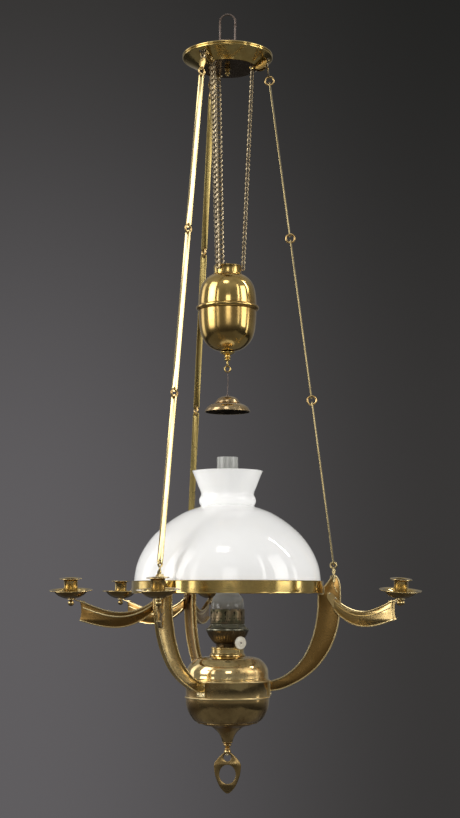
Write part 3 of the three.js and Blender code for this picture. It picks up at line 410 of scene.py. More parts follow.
class Nodes:
    """Short ways to add and join nodes in a tree."""

    def __init__(self, tree: NodeTree) -> None:
        """Keeps the tree."""
        self.tree = tree

    def feed(self, node: Node, feeds: dict[str | int, object]) -> Node:
        """Joins sockets to a node's inputs or sets plain values on them, and gives the node back."""
        for key, value in feeds.items():
            target = node.inputs[key]
            if isinstance(value, NodeSocket):
                self.tree.links.new(value, target)
            else:
                target.default_value = (*value, 1.0) if target.type == "RGBA" else value
        return node

    def add(self, kind: str, feeds: dict[str | int, object] | None = None, **values: object) -> Node:
        """Adds a node, sets attributes on it and feeds its inputs."""
        node = self.tree.nodes.new(kind)
        for name, value in values.items():
            setattr(node, name, value)
        return self.feed(node, feeds or {})

    def coords(self) -> NodeSocket:
        """The object's own coordinates."""
        return self.add("ShaderNodeTexCoord").outputs["Object"]

    def noise(self, coords: NodeSocket, scale: object, detail: float = 4.0, rough: float = 0.55,
            warp: float = 0.0) -> NodeSocket:
        """A noise value over coordinates."""
        return self.add("ShaderNodeTexNoise", {"Vector": coords, "Scale": scale, "Detail": detail,
            "Roughness": rough, "Distortion": warp}).outputs["Fac"]

    def ramp(self, value: NodeSocket, low: float, high: float) -> NodeSocket:
        """A smooth step of a value between two thresholds."""
        return self.add("ShaderNodeMapRange", {"Value": value, "From Min": low, "From Max": high},
            interpolation_type="SMOOTHSTEP", clamp=True).outputs["Result"]

    def maths(self, operation: str, first: object, second: object = 0.0) -> NodeSocket:
        """A math node on two sockets or numbers."""
        return self.add("ShaderNodeMath", {0: first, 1: second}, operation=operation).outputs[0]

    def mixed(self, share: NodeSocket, first: object, second: object) -> NodeSocket:
        """A colour mix of two sockets or plain colours."""
        return self.add("ShaderNodeMix", {0: share, 6: first, 7: second}, data_type="RGBA").outputs[2]

    def bump(self, height: NodeSocket, distance: float) -> NodeSocket:
        """A normal from a height."""
        return self.add("ShaderNodeBump", {"Height": height, "Distance": distance}).outputs["Normal"]


def group(name: str, kind: str, inputs: dict[str, object], outputs: dict[str, str]) -> tuple[Nodes,
        bpy.types.bpy_prop_collection, Node]:
    """A new node group with named sockets.

    Args:
        name: Its name.
        kind: The kind of its tree.
        inputs: The first value of each input, or its socket kind where it has none.
        outputs: The socket kind of each output.

    Returns:
        A node helper, the sockets that the group is given and its output node.
    """
    tree = bpy.data.node_groups.new(name, kind)
    for label, value in inputs.items():
        sort = value if isinstance(value, str) else "Color" if isinstance(value, tuple) else "Float"
        socket = tree.interface.new_socket(name=label, in_out="INPUT", socket_type=f"NodeSocket{sort}")
        if sort != value:
            socket.default_value = value
    for label, sort in outputs.items():
        tree.interface.new_socket(name=label, in_out="OUTPUT", socket_type=f"NodeSocket{sort}")
    nodes = Nodes(tree)
    return nodes, nodes.add("NodeGroupInput").outputs, nodes.add("NodeGroupOutput")


class ShaderGroups:
    """The shader node groups that several finishes share, each built once."""

    @staticmethod
    @cache
    def tarnish() -> NodeTree:
        """Old metal: broad patches, small spots and a worn, cleaner colour where it is rubbed."""
        nodes, given, out = group("metal_tarnish", "ShaderNodeTree",
            {"Clean": (0.8, 0.6, 0.3, 1), "Tarnish": (0.3, 0.18, 0.07, 1), "Spots": (0.08, 0.05, 0.02, 1),
            "Patch Scale": 14.0, "Patch Amount": 0.5, "Spot Scale": 160.0, "Spot Amount": 0.3,
            "Clean Roughness": 0.16, "Tarnish Roughness": 0.38}, {"Color": "Color", "Roughness": "Float"})
        coords = nodes.coords()
        broad = nodes.noise(coords, given["Patch Scale"], 3.0, 0.5, 0.6)
        streaks = nodes.noise(coords, 60.0, 5.0, 0.65, 0.3)
        blend = nodes.maths("ADD", nodes.maths("MULTIPLY", broad, 0.75),
            nodes.maths("MULTIPLY", streaks, 0.25))
        patches = nodes.maths("MULTIPLY", nodes.ramp(blend, 0.42, 0.62), given["Patch Amount"])
        dots = nodes.noise(coords, given["Spot Scale"], 2.0, 0.6)
        spots = nodes.maths("MULTIPLY", nodes.ramp(dots, 0.66, 0.74), given["Spot Amount"])
        colour = nodes.mixed(patches, given["Clean"], given["Tarnish"])
        span = nodes.maths("SUBTRACT", given["Tarnish Roughness"], given["Clean Roughness"])
        rub = nodes.maths("MULTIPLY", nodes.maths("ADD", patches, spots), span)
        nodes.feed(out, {"Color": nodes.mixed(spots, colour, given["Spots"]),
            "Roughness": nodes.maths("ADD", given["Clean Roughness"], rub)})
        return nodes.tree

    @staticmethod
    @cache
    def scuffs() -> NodeTree:
        """Fine polishing scuffs and shallow dents, put out as a normal."""
        nodes, given, out = group("fine_scuffs", "ShaderNodeTree",
            {"Scuff Scale": 260.0, "Scuff Depth": 0.00004, "Dent Scale": 26.0, "Dent Depth": 0.0003},
            {"Normal": "Vector"})
        coords = nodes.coords()
        stretch = nodes.add("ShaderNodeMapping", {"Vector": coords, "Scale": (1.0, 1.0, 0.22)})
        fine = nodes.noise(stretch.outputs["Vector"], given["Scuff Scale"], 4.0, 0.7)
        wide = nodes.noise(coords, given["Dent Scale"], 1.0, 0.4)
        height = nodes.maths("ADD", nodes.maths("MULTIPLY", fine, given["Scuff Depth"]),
            nodes.maths("MULTIPLY", wide, given["Dent Depth"]))
        nodes.feed(out, {"Normal": nodes.bump(height, 1.0)})
        return nodes.tree


class Finish:
    """A material, built the first time that it is asked for."""

    name: str

    def material(self) -> Material:
        """The Blender material of this finish."""
        label = f"{self.name}_finish"
        found = bpy.data.materials.get(label)
        if found:
            return found
        made = bpy.data.materials.new(label)
        made.use_nodes = True
        self.dress(Nodes(made.node_tree), made.node_tree.nodes["Principled BSDF"])
        return made

    def dress(self, nodes: Nodes, shader: Node) -> None:
        """Sets the shader's sockets; each kind of finish has its own."""
        raise NotImplementedError


@dataclass(frozen=True)
class Metal(Finish):
    """A polished or aged metal with tarnish, spots and scuffs."""

    name: str
    clean: Colour
    tarnish: Colour
    spots: Colour = (0.06, 0.035, 0.012)
    grain: float = 14.0
    patches: float = 0.5
    spot_scale: float = 150.0
    spotting: float = 0.35
    rough: float = 0.16
    dull: float = 0.36
    scuff_depth: float = 0.000008
    dent_depth: float = 0.00012
    metallic: float = 1.0

    def dress(self, nodes: Nodes, shader: Node) -> None:
        """Joins the tarnish and scuff groups to the shader."""
        tarnish = nodes.add("ShaderNodeGroup", {"Clean": self.clean, "Tarnish": self.tarnish,
            "Spots": self.spots, "Patch Scale": self.grain, "Patch Amount": self.patches,
            "Spot Scale": self.spot_scale, "Spot Amount": self.spotting, "Clean Roughness": self.rough,
            "Tarnish Roughness": self.dull}, node_tree=ShaderGroups.tarnish()).outputs
        scuffs = nodes.add("ShaderNodeGroup", {"Scuff Depth": self.scuff_depth,
            "Dent Depth": self.dent_depth}, node_tree=ShaderGroups.scuffs()).outputs
        nodes.feed(shader, {"Metallic": self.metallic, "Base Color": tarnish["Color"],
            "Roughness": tarnish["Roughness"], "Normal": scuffs["Normal"]})


@dataclass(frozen=True)
class Opal(Finish):
    """White opal glass, glossy, with a slow ripple."""

    name: str = "opal_glass"
    white: Colour = (0.965, 0.965, 0.955)
    depth: Colour = (0.02, 0.02, 0.018)
    ripple: float = 0.0008

    def dress(self, nodes: Nodes, shader: Node) -> None:
        """One white with a gloss, a little light under its surface and the ripple."""
        nodes.feed(shader, {"Base Color": self.white, "Roughness": 0.045, "IOR": 1.55,
            "Subsurface Weight": 0.25, "Subsurface Radius": self.depth, "Subsurface Scale": 1.0,
            "Normal": nodes.bump(nodes.noise(nodes.coords(), 9.0, 1.0, 0.4), self.ripple)})


@dataclass(frozen=True)
class ClearGlass(Finish):
    """Clear blown glass, smoked near the flame and tinted grey up the tube as painted shade."""

    name: str = "clear_glass"
    smoked: Colour = (0.26, 0.22, 0.165)
    clear: Colour = (0.92, 0.925, 0.89)
    # Painted shade: the tube above the bulge is tinted this darker grey.
    tube: Colour = (0.62, 0.625, 0.60)
    smoke_rise: Point2 = (-1.166, -1.126)
    tube_shade_rise: Point2 = (-1.1, -1.04)
    ripple: float = 0.0006

    def dress(self, nodes: Nodes, shader: Node) -> None:
        """Clear, browned by smoke near the flame and tinted grey up the tube as painted shade, with the slow
        ripple of blown glass.
        """
        height = nodes.add("ShaderNodeSeparateXYZ", {0: nodes.coords()}).outputs["Z"]
        bulge = nodes.mixed(nodes.ramp(height, *self.smoke_rise), self.smoked, self.clear)
        nodes.feed(shader, {"Base Color": nodes.mixed(nodes.ramp(height, *self.tube_shade_rise), bulge,
            self.tube), "Transmission Weight": 0.6, "Roughness": 0.02, "IOR": 1.45,
            "Normal": nodes.bump(nodes.noise(nodes.coords(), 18.0, 1.0, 0.4), self.ripple)})


@dataclass(frozen=True)
class Cotton(Finish):
    """Woven cotton of the wick."""

    name: str = "cotton"
    shadow: Colour = (0.45, 0.39, 0.29)
    thread: Colour = (0.7, 0.64, 0.52)
    relief: float = 0.0003

    def dress(self, nodes: Nodes, shader: Node) -> None:
        """A fine diagonal weave."""
        weave = nodes.add("ShaderNodeTexWave", {"Vector": nodes.coords(), "Scale": 420.0,
            "Distortion": 1.5}, bands_direction="DIAGONAL").outputs["Fac"]
        nodes.feed(shader, {"Base Color": nodes.mixed(weave, self.shadow, self.thread), "Roughness": 0.9,
            "Normal": nodes.bump(weave, self.relief)})


@dataclass(frozen=True)
class Paint(Finish):
    """A plain matt studio surface with a faint grain."""

    name: str
    colour: Colour
    roughness: float = 0.8
    grain: float = 0.2

    def dress(self, nodes: Nodes, shader: Node) -> None:
        """One colour with a little grain in its roughness."""
        spread = nodes.maths("MULTIPLY", nodes.noise(nodes.coords(), 3.0, 3.0), self.grain)
        nodes.feed(shader, {"Base Color": self.colour, "Roughness": nodes.maths("ADD", spread,
            self.roughness - self.grain / 2)})


class Finishes:
    """Every finish of the lamp."""

    POLISHED = Metal("polished_brass", (0.73, 0.545, 0.20), (0.43, 0.27, 0.08), patches=0.55, rough=0.1,
        dull=0.26)
    PALE = Metal("pale_brass", (0.66, 0.53, 0.27), (0.45, 0.33, 0.135), patches=0.45, grain=10.0,
        rough=0.16, dull=0.3, spotting=0.2)
    # A darker copy of the rod brass, used for the rods of one line.
    DARKER_ROD = Metal("dull_rod_brass", (0.36, 0.28, 0.105), (0.24, 0.17, 0.055), patches=0.55, grain=10.0,
        rough=0.26, dull=0.4)
    # Painted shade: a darker copy of the plate brass for the canopy pan's downward-facing floor.
    SHADED_PLATE = Metal("dark_plate_brass", (0.24, 0.15, 0.055), (0.12, 0.07, 0.025), patches=0.6,
        grain=30.0, rough=0.14, dull=0.3)
    # Painted light: a lighter copy of the arm web brass, given to the arms that face the light.
    LIT_ARM_FACE = Metal("arm_face_brass", (0.66, 0.49, 0.22), (0.36, 0.25, 0.10), patches=0.7, rough=0.2,
        dull=0.36)
    # Painted shade: a dark copy of the holder brass for faces that look down.
    UNDERSIDE_SHADE = Metal("underside_brass", (0.27, 0.18, 0.075), (0.13, 0.08, 0.03), patches=0.6, grain=26.0,
        rough=0.16, dull=0.34)
    # Painted shade: a darker copy of the cup brass for the cup's bowl and the tail, which face down.
    BOWL_SHADE = Metal("bowl_brass", (0.60, 0.42, 0.18), (0.19, 0.11, 0.04), patches=0.85, grain=13.0, rough=0.12,
        dull=0.36, spotting=0.45)
    # Painted shade: the arms' webs, recessed between the flanges, are drawn in a dark brown copy of the arm
    # brass.
    SHADED_ARM_WEB = Metal("arm_web_brass", (0.38, 0.225, 0.07), (0.18, 0.10, 0.028), patches=0.7, rough=0.22,
        dull=0.38)
    # Painted highlight: a pale copy of the arm brass for the flanges and other raised parts of the arms.
    ARM_EDGE_HIGHLIGHT = Metal("arm_edge_brass", (0.86, 0.70, 0.38), (0.58, 0.42, 0.17), patches=0.5, rough=0.26,
        dull=0.4)
    AGED = Metal("aged_brass", (0.46, 0.33, 0.13), (0.24, 0.155, 0.055), patches=0.65, rough=0.18,
        dull=0.38)
    CUP = Metal("cup_brass", (0.84, 0.62, 0.28), (0.30, 0.18, 0.066), patches=0.85, grain=13.0, rough=0.12,
        dull=0.36, spotting=0.45)
    PLATE = Metal("plate_brass", (0.42, 0.29, 0.12), (0.23, 0.15, 0.055), patches=0.6, grain=30.0,
        rough=0.22, dull=0.4)
    BRIGHT = Metal("bright_brass", (0.80, 0.61, 0.27), (0.55, 0.36, 0.13), patches=0.4, rough=0.1,
        dull=0.24, spotting=0.2)
    BARREL = Metal("barrel_brass", (0.65, 0.455, 0.16), (0.31, 0.185, 0.06), patches=0.6, grain=9.0,
        rough=0.13, dull=0.28, dent_depth=0.0004)
    FONT = Metal("font_brass", (0.95, 0.745, 0.37), (0.43, 0.275, 0.105), patches=0.85, grain=15.0,
        rough=0.1, dull=0.32, spotting=0.5, dent_depth=0.0003)
    HOLDER = Metal("holder_brass", (0.72, 0.55, 0.25), (0.40, 0.27, 0.10), patches=0.6, grain=26.0,
        rough=0.14, dull=0.3)
    RING = Metal("ring_brass", (0.78, 0.555, 0.24), (0.42, 0.26, 0.095), patches=0.6, grain=40.0,
        rough=0.16, dull=0.32)
    # Painted highlight: a pale copy of the cup brass for the rolled seams round the cup.
    SEAM_HIGHLIGHT = Metal("seam_brass", (0.92, 0.74, 0.40), (0.62, 0.45, 0.19), patches=0.5, grain=30.0, rough=0.3,
        dull=0.42)
    SCREW = Metal("screw_brass", (0.90, 0.80, 0.56), (0.66, 0.52, 0.28), patches=0.4, grain=60.0,
        rough=0.14, dull=0.28)
    COVE = Metal("cove_bronze", (0.27, 0.26, 0.195), (0.13, 0.125, 0.085), patches=0.7, grain=34.0,
        rough=0.24, dull=0.42)
    CROWN = Metal("crown_bronze", (0.27, 0.205, 0.12), (0.115, 0.115, 0.065), patches=0.9, grain=60.0,
        rough=0.3, dull=0.5, spot_scale=300.0, spotting=0.7)
    COPPERY = Metal("coppery_brass", (0.60, 0.44, 0.235), (0.28, 0.19, 0.1), patches=0.75, grain=22.0,
        rough=0.15, dull=0.32)
    BURNER = Metal("burner_bronze", (0.17, 0.12, 0.062), (0.075, 0.052, 0.028), patches=0.8, grain=30.0,
        rough=0.26, dull=0.46)
    # Real soot inside the smoke bell, and painted shade on the sleeve behind the crown's piercings.
    SOOT_AND_SHADE = Metal("sooty_inside", (0.035, 0.028, 0.02), (0.015, 0.012, 0.009), patches=0.6, grain=60.0,
        rough=0.6, dull=0.8)
    IRON = Metal("dark_iron", (0.16, 0.13, 0.115), (0.09, 0.062, 0.045), patches=0.8, grain=40.0,
        rough=0.42, dull=0.62, scuff_depth=0.00005)
    CHAIN = Metal("chain_brass", (0.52, 0.43, 0.28), (0.25, 0.19, 0.11), patches=0.6, grain=60.0,
        rough=0.26, dull=0.44)
    LEAD = Metal("ballast_metal", (0.24, 0.25, 0.26), (0.14, 0.14, 0.15), patches=0.7, rough=0.5, dull=0.65)
    NICKEL = Metal("nickel", (0.74, 0.70, 0.59), (0.52, 0.48, 0.38), patches=0.4, grain=60.0, rough=0.42,
        dull=0.55, metallic=0.3)
    OPAL = Opal()
    CLEAR = ClearGlass()
    COTTON = Cotton()
    FLOOR = Paint("pale_floor", (0.47, 0.47, 0.46))


# Pieces


def solid_mesh(name: str, draft: Draft) -> Mesh:
    """A mesh of a draft in metres, its doubles merged and its faces pointing outwards."""
    mesh = bpy.data.meshes.new(name)
    mesh.from_pydata((draft.points * MM).tolist(), [], draft.faces)
    mesh.polygons.foreach_set("material_index", draft.marks)
    work = bmesh.new()
    work.from_mesh(mesh)
    bmesh.ops.remove_doubles(work, verts=work.verts, dist=MERGE)
    bmesh.ops.recalc_face_normals(work, faces=work.faces)
    work.to_mesh(mesh)
    work.free()
    return mesh


def smooth(mesh: Mesh) -> Mesh:
    """Shades a mesh smooth, apart from its sharp edges, and gives it back."""
    mesh.shade_smooth()
    mesh.set_sharp_from_angle(angle=radians(SHARP))
    return mesh


def in_scene(name: str, data: bpy.types.ID) -> Object:
    """A new object in the scene."""
    made = bpy.data.objects.new(name, data)
    bpy.context.scene.collection.objects.link(made)
    return made


def evaluated(host: Object) -> Mesh:
    """What an object's modifiers make, as a plain mesh."""
    return bpy.data.meshes.new_from_object(host.evaluated_get(bpy.context.evaluated_depsgraph_get()))


def make_piece(name: str, draft: Draft, finishes: Finish | Sequence[Finish], body: Body | str,
        nodes: Sequence[str] = ()) -> Object:
    """Makes an object of a draft and lets it ride on a body.

    Args:
        name: The piece's name.
        draft: Its shape in millimetres.
        finishes: Its finish, or one for each finish number of the draft.
        body: The CAD body that it rides on.
        nodes: The CAD nodes that it stands for.

    Returns:
        The finished object.
    """
    mesh = solid_mesh(name, draft)
    for finish in [finishes] if isinstance(finishes, Finish) else finishes:
        mesh.materials.append(finish.material())
    return settle(in_scene(name, smooth(mesh)), body, nodes)


def settle(made: Object, body: Body | str | None, nodes: Sequence[str] = ()) -> Object:
    """Lets a made object ride on a body, if one is given, and stand for nodes, and reports it."""
    if body:
        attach(made, body.value if isinstance(body, Body) else body)
    if nodes:
        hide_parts(*nodes)
    LOG.info("%s: %d faces", made.name, len(made.data.polygons))
    return made


def cut_away(target: Object, cutters: Sequence[Draft]) -> None:
    """Cuts drafts out of an object's mesh with an exact boolean, applied at once."""
    for draft in cutters:
        cutter = in_scene("cutter", solid_mesh("cutter", draft))
        modifier = target.modifiers.new("cut", "BOOLEAN")
        modifier.operation = "DIFFERENCE"
        modifier.solver = "EXACT"
        modifier.object = cutter
        result = evaluated(target)
        target.modifiers.remove(modifier)
        result.name = target.data.name
        target.data = result
        bpy.data.objects.remove(cutter)
    smooth(target.data)


class Repeats:
    """Geometry node trees that place copies of a small pattern."""

    SOCKETS = {"Geometry": "Geometry", "Pattern": "Object", "Finish": "Material"}

    @classmethod
    @cache
    def along_line(cls) -> NodeTree:
        """Copies of a pattern at one pitch along a curve, their width kept on one direction."""
        nodes, given, out = group("links_along_line", "GeometryNodeTree",
            {**cls.SOCKETS, "Pitch": "Float", "Width Direction": "Vector"}, {"Geometry": "Geometry"})
        resample = nodes.add("GeometryNodeResampleCurve", {"Curve": given["Geometry"],
            "Length": given["Pitch"]}, mode="LENGTH")
        points = nodes.add("GeometryNodeCurveToPoints", {"Curve": resample.outputs["Curve"]},
            mode="EVALUATED").outputs
        cls._place(nodes, points["Points"], (points["Tangent"], given["Width Direction"]), given, out)
        return nodes.tree

    @classmethod
    @cache
    def on_points(cls) -> NodeTree:
        """Copies of a pattern on a mesh's points, turned to each point's facing and spin."""
        nodes, given, out = group("copies_on_points", "GeometryNodeTree", cls.SOCKETS,
            {"Geometry": "Geometry"})
        ways = [nodes.add("GeometryNodeInputNamedAttribute", {"Name": name},
            data_type="FLOAT_VECTOR").outputs["Attribute"] for name in ("facing", "spin")]
        cls._place(nodes, given["Geometry"], ways, given, out)
        return nodes.tree

    @staticmethod
    def _place(nodes: Nodes, points: NodeSocket, ways: Sequence[NodeSocket],
            given: bpy.types.bpy_prop_collection, out: Node) -> None:
        """Ends a tree: instances, their Z and X turned to two ways, realized, with their finish."""
        align = "FunctionNodeAlignRotationToVector"
        along = nodes.add(align, {"Vector": ways[0]}, axis="Z")
        across = nodes.add(align, {"Rotation": along.outputs["Rotation"], "Vector": ways[1]}, axis="X",
            pivot_axis="Z")
        pattern = nodes.add("GeometryNodeObjectInfo", {"Object": given["Pattern"]})
        copies = nodes.add("GeometryNodeInstanceOnPoints", {"Points": points,
            "Instance": pattern.outputs["Geometry"], "Rotation": across.outputs["Rotation"]})
        real = nodes.add("GeometryNodeRealizeInstances", {"Geometry": copies.outputs["Instances"]})
        dress = nodes.add("GeometryNodeSetMaterial", {"Geometry": real.outputs["Geometry"],
            "Material": given["Finish"]})
        nodes.feed(out, {"Geometry": dress.outputs["Geometry"]})

    @staticmethod
    def _run(host: Object, tree: NodeTree, values: dict[str, object], pattern: Draft, name: str) -> Object:
        """Evaluates a tree on a host object and keeps the result as a plain mesh object."""
        source = in_scene("pattern", smooth(solid_mesh("pattern", pattern)))
        modifier = host.modifiers.new("repeat", "NODES")
        modifier.node_group = tree
        sockets = {item.name: item.identifier for item in tree.interface.items_tree
            if item.item_type == "SOCKET" and item.in_out == "INPUT"}
        for label, value in {"Pattern": source, **values}.items():
            modifier[sockets[label]] = value
        host.update_tag()
        bpy.context.view_layer.update()
        mesh = evaluated(host)
        mesh.name = name
        bpy.data.objects.remove(host)
        bpy.data.objects.remove(source)
        return in_scene(name, mesh)

    @classmethod
    def line_of(cls, name: str, pattern: Draft, path: Sequence[Sequence[float]], pitch: float,
            width: Sequence[float], finish: Finish) -> Object:
        """Copies of a pattern along a path.

        Args:
            name: The new object's name.
            pattern: One copy, along +Z, its width along X.
            path: The points of the path in millimetres.
            pitch: The spacing of the copies.
            width: The direction of the copies' width.
            finish: The finish of the copies.

        Returns:
            The object, with a plain mesh and no modifier.
        """
        data = bpy.data.curves.new("route", "CURVE")
        data.dimensions = "3D"
        spline = data.splines.new("POLY")
        spline.points.add(len(path) - 1)
        for point, place in zip(spline.points, path):
            point.co = (*(float(v) * MM for v in place), 1.0)
        values = {"Pitch": pitch * MM, "Width Direction": tuple(width), "Finish": finish.material()}
        return cls._run(in_scene("route", data), cls.along_line(), values, pattern, name)

    @classmethod
    def copies_at(cls, name: str, pattern: Draft, places: Sequence[tuple[Vector, Vector, Vector]],
            finish: Finish) -> Object:
        """Copies of a pattern at points.

        Args:
            name: The new object's name.
            pattern: One copy, facing +Z, its slot along X.
            places: The point, facing and slot direction of each copy, in millimetres.
            finish: The finish of the copies.

        Returns:
            The object, with a plain mesh and no modifier.
        """
        mesh = bpy.data.meshes.new("seats")
        mesh.from_pydata([tuple(place[0] * MM) for place in places], [], [])
        for index, label in enumerate(("facing", "spin"), 1):
            attribute = mesh.attributes.new(label, "FLOAT_VECTOR", "POINT")
            attribute.data.foreach_set("vector", [v for place in places for v in place[index]])
        host = in_scene("seats", mesh)
        return cls._run(host, cls.on_points(), {"Finish": finish.material()}, pattern, name)


def screw_head(radius: float, height: float, slot: float = 0.22) -> Draft:
    """A domed screw head with a slot, its seat at Z 0.

    Args:
        radius: The head's radius.
        height: The dome's height.
        slot: The slot's half width, as a share of the radius.

    Returns:
        The draft of the head.
    """
    halves = []
    for side in (1, -1):
        outline = [(x, side * max(abs(y), radius * slot)) for x,
            y in arc((0.0, 0.0), radius, 12 * side, 168 * side, 10)]
        rings = [(1.0, 0.0), (1.0, 0.45), (0.86, 0.8), (0.55, 1.0)]
        points, faces = [], []
        for share, rise in rings:
            for x, y in outline:
                inward = side * radius * slot
                points.append((x * share, inward + (y - inward) * share, height * rise))
        count = len(outline)
        for i in range(len(rings) - 1):
            for j in range(count):
                k = (j + 1) % count
                faces.append((i * count + j, i * count + k, (i + 1) * count + k, (i + 1) * count + j))
        faces.append(tuple(range(count)))
        faces.append(tuple(range((len(rings) - 1) * count, len(rings) * count)))
        halves.append(Draft(points, faces))
    bed = lathed([(0, -0.5), (radius * 0.92, -0.5), (radius * 0.92, height * 0.3), (0, height * 0.3)], 20)
    return halves[0].with_(halves[1], bed)


def axis_shift(angle: float, radius: float, z: float = 0.0) -> Vector:
    """The place at an azimuth in degrees, a radius and a height."""
    turn = radians(angle)
    return Vector((radius * cos(turn), radius * sin(turn), z))


def beside(line: Sequence[Point2], distance: float) -> list[Point2]:
    """The same open line, moved to its left by a distance, its corners kept.

    Args:
        line: The points of the line.
        distance: How far it moves, negative to the right.

    Returns:
        The points of the moved line.
    """
    spots = [np.array(p, float) for p in line]
    ways = []
    for a, b in zip(spots, spots[1:]):
        step = b - a
        ways.append(np.array([-step[1], step[0]]) / max(np.linalg.norm(step), 1e-9))
    result = []
    for i, spot in enumerate(spots):
        first, second = ways[max(i - 1, 0)], ways[min(i, len(ways) - 1)]
        middle = first + second
        middle = middle / max(np.linalg.norm(middle), 1e-9)
        spread = max(float(middle @ first), 0.5)
        result.append((float(spot[0] + middle[0] * distance / spread),
            float(spot[1] + middle[1] * distance / spread)))
    return result


def shell(outside: Sequence[Point2], sheet: float) -> list[Point2]:
    """A closed wall profile: a line and the same line moved to its left by the sheet."""
    return [*outside, *reversed(beside(outside, sheet))]


def sliced(draft: Draft, point: Sequence[float], normal: Sequence[float]) -> Draft:
    """Cuts off what lies on the far side of a plane and closes the cut.

    Args:
        draft: The draft to cut.
        point: A point of the plane.
        normal: The direction that points to the side that goes.

    Returns:
        The draft that is left.
    """
    mesh = bpy.data.meshes.new("cut_draft")
    mesh.from_pydata(draft.points.tolist(), [], draft.faces)
    mesh.polygons.foreach_set("material_index", draft.marks)
    work = bmesh.new()
    work.from_mesh(mesh)
    bmesh.ops.remove_doubles(work, verts=work.verts, dist=1e-4)
    bmesh.ops.bisect_plane(work, geom=[*work.verts, *work.edges, *work.faces], dist=1e-4, plane_co=point,
        plane_no=normal, clear_outer=True)
    bmesh.ops.holes_fill(work, edges=[edge for edge in work.edges if edge.is_boundary], sides=0)
    work.to_mesh(mesh)
    work.free()
    result = Draft([v.co for v in mesh.vertices], [tuple(face.vertices) for face in mesh.polygons])
    result.marks = [face.material_index for face in mesh.polygons]
    bpy.data.meshes.remove(mesh)
    return result


def block(size: Sequence[float], centre: Sequence[float]) -> Draft:
    """A box, used as a cutter."""
    x, y, z = (v / 2 for v in size)
    points = [(i * x, j * y, k * z) for k in (-1, 1) for i, j in ((-1, -1), (1, -1), (1, 1), (-1, 1))]
    faces = [(3, 2, 1, 0), (4, 5, 6, 7), (0, 1, 5, 4), (1, 2, 6, 5), (2, 3, 7, 6), (3, 0, 4, 7)]
    return Draft(points, faces).moved(*centre)


# Layout


@dataclass
class Layout:
    """Driving dimensions in millimetres, and the radii and heights that follow from them."""

    loop_height: float = 56.0
    plate_thickness: float = 3.0
    rim_below_plate: float = 26.0
    pan_depth: float = 23.0
    canopy_radius: float = 88.0
    pulley_from_rim: float = 25.5
    pulley_below_rim: float = 14.0
    pulley_pitch: float = 13.5
    chain_thickness: float = 7.0
    chain_run: float = 406.0
    chain_seat: float = 4.0
    collar_height: float = 16.0
    upper_height: float = 66.0
    lower_height: float = 85.0
    line_outside: float = 6.0
    line_below: float = 37.0
    hole_spacing: float = 300.0
    ring_mean: float = 16.5
    rods: int = 3
    shade_radius: float = 175.0
    shade_clear: float = 3.4
    ring_sheet: float = 2.2
    ring_height: float = 23.0
    ledge_drop: float = 5.0
    apex_width: float = 9.0
    hook_loop: float = 10.6
    hook_wire: float = 3.6
    hook_shank: float = 13.0
    arm_belly: float = 9.2
    arm_height: float = 215.0
    shelf_drop: float = 34.0
    foot_depth: float = 19.0
    cup_radius: float = 78.0
    cup_band: float = 31.5
    cup_above_foot: float = 1.5
    cup_bowl: float = 47.5
    font_dome: float = 44.0
    burner_collar: float = 17.0
    burner_neck: float = 6.0
    burner_bowl: float = 25.0
    burner_cove: float = 12.0
    candle_beyond_arm: float = 126.7
    pan_drop: float = 28.0
    dish_depth: float = 15.0

    def __post_init__(self) -> None:
        """Works out the places, from the loop downwards."""
        # Hanger, canopy and pulleys
        self.plate_top = -self.loop_height
        self.plate_bottom = self.plate_top - self.plate_thickness
        self.rim = self.plate_bottom - self.rim_below_plate
        self.pan_floor = self.rim - self.pan_depth
        self.pulley_r = self.canopy_radius - self.pulley_from_rim
        self.pulley_z = self.rim - self.pulley_below_rim
        self.chain_out = self.pulley_r + self.pulley_pitch
        self.chain_in = self.pulley_r - self.pulley_pitch
        # Counterweight
        self.weight_top = self.pulley_z - self.chain_run + self.chain_seat
        self.collar_bottom = self.weight_top - self.collar_height
        self.band = self.collar_bottom - self.upper_height
        self.weight_bottom = self.band - self.lower_height
        # Rod lines and hooks
        self.line_top = self.chain_out + self.line_outside, self.pulley_z - self.line_below
        self.ring_pitch = self.hole_spacing + self.ring_mean
        self.ring_radius = self.shade_radius + self.shade_clear + self.ring_sheet
        self.hook_r = self.ring_radius + self.apex_width / 2 + self.hook_loop + self.hook_wire + GAP
        length = self.rods * self.ring_pitch - self.ring_mean / 2
        self.line_drop = sqrt(length ** 2 - (self.hook_r - self.line_top[0]) ** 2)
        self.line_slope = atan2(self.hook_r - self.line_top[0], self.line_drop)
        self.hook_z = self.line_top[1] - self.line_drop - self.hook_loop / 2
        # Main arms, ring and shade
        self.apex = self.hook_z - self.hook_loop / 2 - self.hook_shank
        self.ring_bottom = self.apex - self.shelf_drop + GAP
        self.shade_bottom = self.ring_bottom + self.ring_height - self.ledge_drop + GAP
        self.arm_outer = self.hook_r + self.arm_belly + self.apex_width / 2
        self.foot = self.apex - self.arm_height
        # Cup, font and burner
        self.cup_top = self.foot + self.foot_depth + self.cup_above_foot
        self.cup_band_bottom = self.cup_top - self.cup_band
        self.cup_base = self.cup_band_bottom - self.cup_bowl
        self.font_top = self.cup_top + self.font_dome
        self.collar_top = self.font_top + self.burner_collar
        self.bowl_top = self.collar_top + self.burner_neck + self.burner_bowl
        self.cove_top = self.bowl_top + self.burner_cove
        # Candles
        self.candle_z = self.apex - self.pan_drop
        self.candle_circle = self.arm_outer + self.candle_beyond_arm


LAY = Layout()


# Hanger and canopy


